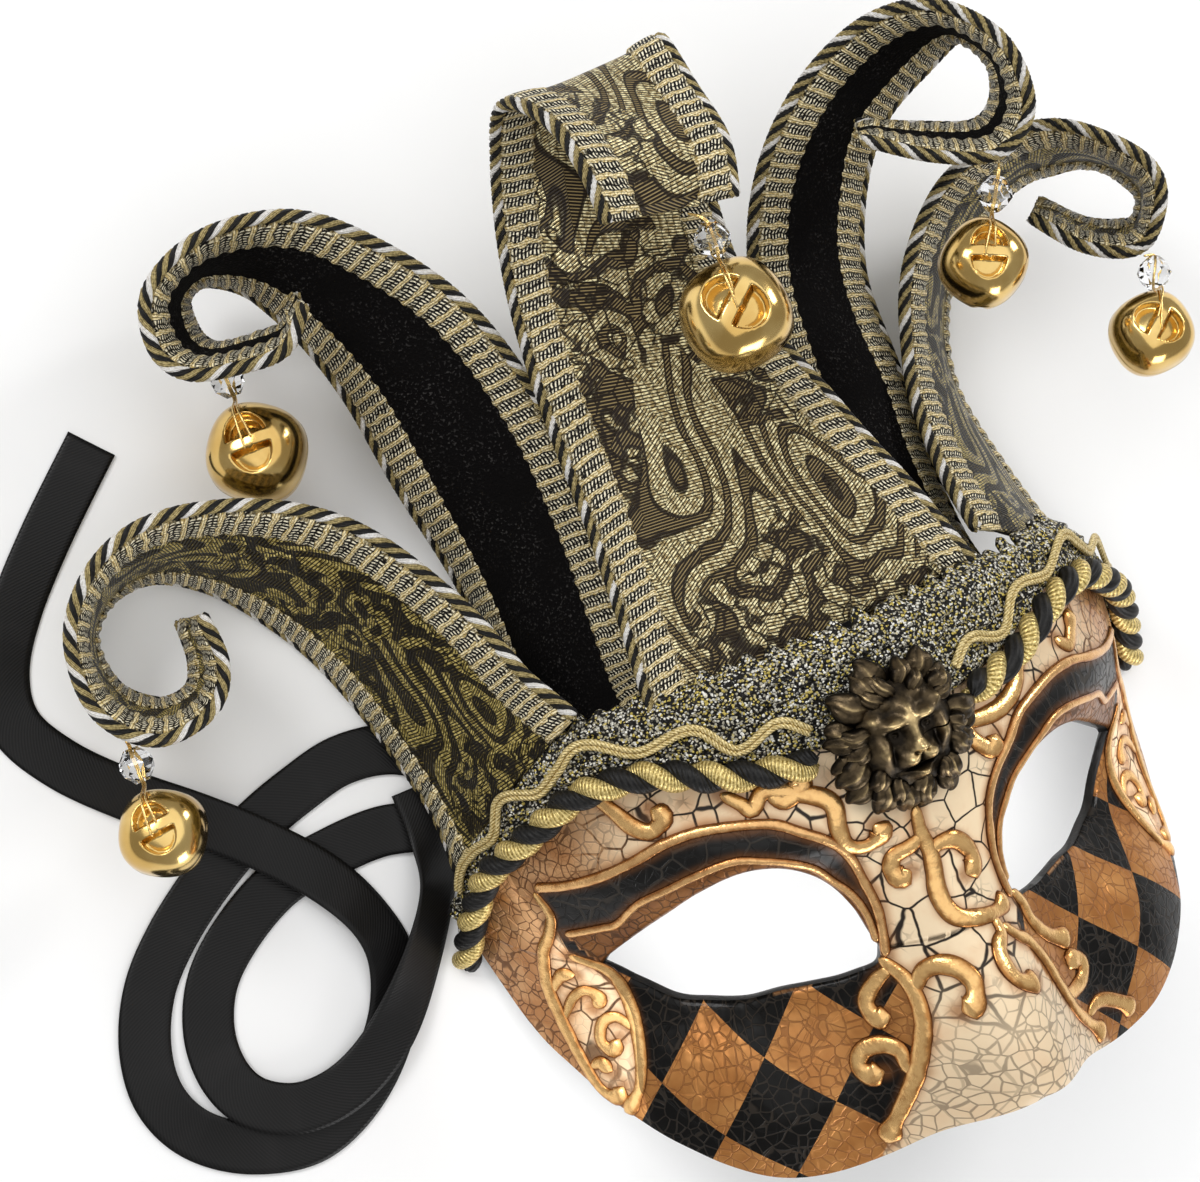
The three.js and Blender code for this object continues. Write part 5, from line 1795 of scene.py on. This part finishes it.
@dataclass
class Ribbon:
    """A satin tie that lies on the floor."""

    name: str
    route: Rows
    form: FaceForm = FACE
    width: float = 10.0
    thick: float = 0.36
    cad_thick: float = 0.6

    def build(self) -> None:
        """Builds the strip along its route: flat but for its lean and a slight cup."""
        last = len(self.route) - 1
        at = np.linspace(0, last, 12 * last + 1)
        shift = np.append(self.form.offset()[:2], 0)

        def place(where: Array) -> Array:
            """The route's middle on the floor, without its height."""
            spots = rows_at(self.route, np.clip(where, 0, last))[:, :2] * self.form.sizes[:2] / 100
            return np.concatenate([spots, np.zeros((len(spots), 1))], axis=1) + shift

        columns = rows_at(self.route, at)
        lean = np.radians(columns[:, 3])[:, None]
        along = unit(place(at + 0.25) - place(at - 0.25))
        flat = np.stack([-along[:, 1], along[:, 0], np.zeros(len(at))], axis=1)
        above = np.array([0.0, 0.0, 1.0])
        across = flat * np.cos(lean) + above * np.sin(lean)
        up = np.cross(along, across)
        least = self.width / 2 * np.abs(np.sin(lean[:, 0])) + self.cad_thick / 2 + 0.05
        middle = place(at)
        middle[:, 2] = np.maximum(columns[:, 2], least) - (self.cad_thick - self.thick) / 2
        t = np.linspace(-1, 1, 9)
        cup = 0.10 * (t ** 2)
        u = np.concatenate([t, t[::-1]])
        out = np.concatenate([cup + self.thick / 2, cup[::-1] - self.thick / 2])
        places = (
            middle[:, None]
            + (u * self.width / 2)[None, :, None] * across[:, None]
            + out[None, :, None] * up[:, None]
        )
        gone = gone_along(middle)
        across_uv = np.append((u + 1) * self.width / 2, 0) / 100
        patch = grid(places, across_uv[None], gone[:, None] / 100, closed=True, capped=True)
        made = assemble(f"tie_{self.name}", [patch], [Finish.SATIN.material])
        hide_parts(f"ribbon_{self.name}")
        self.width / 1000
        LOG.info("tie_%s: %.0f mm", self.name, gone[-1])


@dataclass
class Studio:
    """The pale floor, the soft lights and the camera."""

    form: FaceForm = FACE
    target: Colour = (-32.209, 113.732, 30.0)
    azimuth: float = -130.2641
    elevation: float = 67.8026
    roll: float = 109.6716
    distance: float = 559.965
    lens: float = 87.01
    overhead: float = 6.8
    key: float = 2.6
    side: float = 2.0
    low: float = 1.2
    eye: float = 0.016
    sky: float = 0.38

    def camera(self) -> None:
        """The camera, given in the face frame and leaned with it."""
        az, el, roll = (math.radians(x) for x in (self.azimuth, self.elevation, self.roll))
        back = np.array([math.cos(el) * math.sin(az), -math.cos(el) * math.cos(az), math.sin(el)])
        level = np.array([math.cos(az), math.sin(az), 0.0])
        rise = np.cross(back, level)
        right = level * math.cos(roll) + rise * math.sin(roll)
        above = -level * math.sin(roll) + rise * math.cos(roll)
        eye = self.form.place(np.array(self.target) + self.distance * back) / 1000
        turn = Matrix([list(self.form.leaned(v)) for v in (right, above, back)]).transposed()
        data = bpy.data.cameras.new("camera")
        data.lens = self.lens
        data.sensor_width = 36.0
        data.clip_start = 0.02
        made = bpy.data.objects.new("camera", data)
        made.matrix_world = Matrix.Translation(Vector(eye)) @ turn.to_4x4()
        bpy.context.scene.collection.objects.link(made)
        bpy.context.scene.camera = made

    def lamp(self, name: str, at: Colour, size: float, power: float,
             aim: Colour = (0.0, 0.0, 0.0)) -> None:
        """An area light.

        Args:
            name: its name.
            at: its place in metres.
            size: its width in metres.
            power: in watts.
            aim: the place that it faces, in metres.
        """
        data = bpy.data.lights.new(name, "AREA")
        data.size = size
        data.energy = power
        made = bpy.data.objects.new(name, data)
        made.location = at
        made.rotation_mode = "QUATERNION"
        made.rotation_quaternion = (Vector(aim) - Vector(at)).to_track_quat("-Z", "Y")
        bpy.context.scene.collection.objects.link(made)

    def build(self) -> None:
        """Builds the floor, the lights and the sky, and the camera."""
        reach = 3.0
        corners = [(-reach, -reach, 0), (reach, -reach, 0), (reach, reach, 0), (-reach, reach, 0)]
        mesh = bpy.data.meshes.new("floor")
        mesh.from_pydata(corners, [], [(0, 1, 2, 3)])
        mesh.materials.append(Finish.FLOOR.material)
        floor = bpy.data.objects.new("floor", mesh)
        bpy.context.scene.collection.objects.link(floor)
        self.lamp("overhead", (-0.05, 0.2, 1.0), 1.6, self.overhead)
        self.lamp("key", (-0.45, 0.55, 0.6), 0.3, self.key)
        self.lamp("side", (0.7, 0.2, 0.45), 0.22, self.side)
        self.lamp("low", (0.05, -0.5, 0.1), 0.25, self.low)
        for name, x in (("left", -0.025), ("right", 0.051)):
            self.lamp(f"under_{name}_eye", (x, -0.055, 0.022), 0.07, self.eye, (x, -0.055, 0.0))
        bpy.context.scene.view_settings.view_transform = "Standard"
        world = bpy.data.worlds.new("studio")
        bpy.context.scene.world = world
        world.use_nodes = True
        background = world.node_tree.nodes["Background"]
        background.inputs[0].default_value = (1, 1, 1, 1)
        background.inputs[1].default_value = self.sky


def main() -> None:
    """Builds the pieces in order."""
    logging.basicConfig(level=logging.INFO, format="%(name)s: %(message)s")
    Studio().camera()
    Face().build()
    Trimmings().build()
    Lion().build()
    cloths = {"left": Finish.VELVET, "right": Finish.VELVET, "centre": Finish.BROCADE_TAN}
    for name, rows in POINTS.items():
        CrownPoint(name, rows, cloths.get(name, Finish.BROCADE_OLIVE_SHADED)).build()
    for name, (row, side, to_bead, to_bell, size) in BELLS.items():
        Bell(name, row, side, to_bead, to_bell, BELL_SPINS[name], size).build()
    Ribbon("near", RIBBON_NEAR).build()
    Ribbon("far", RIBBON_FAR).build()
    Studio().build()


if __name__ == "__main__":
    main()
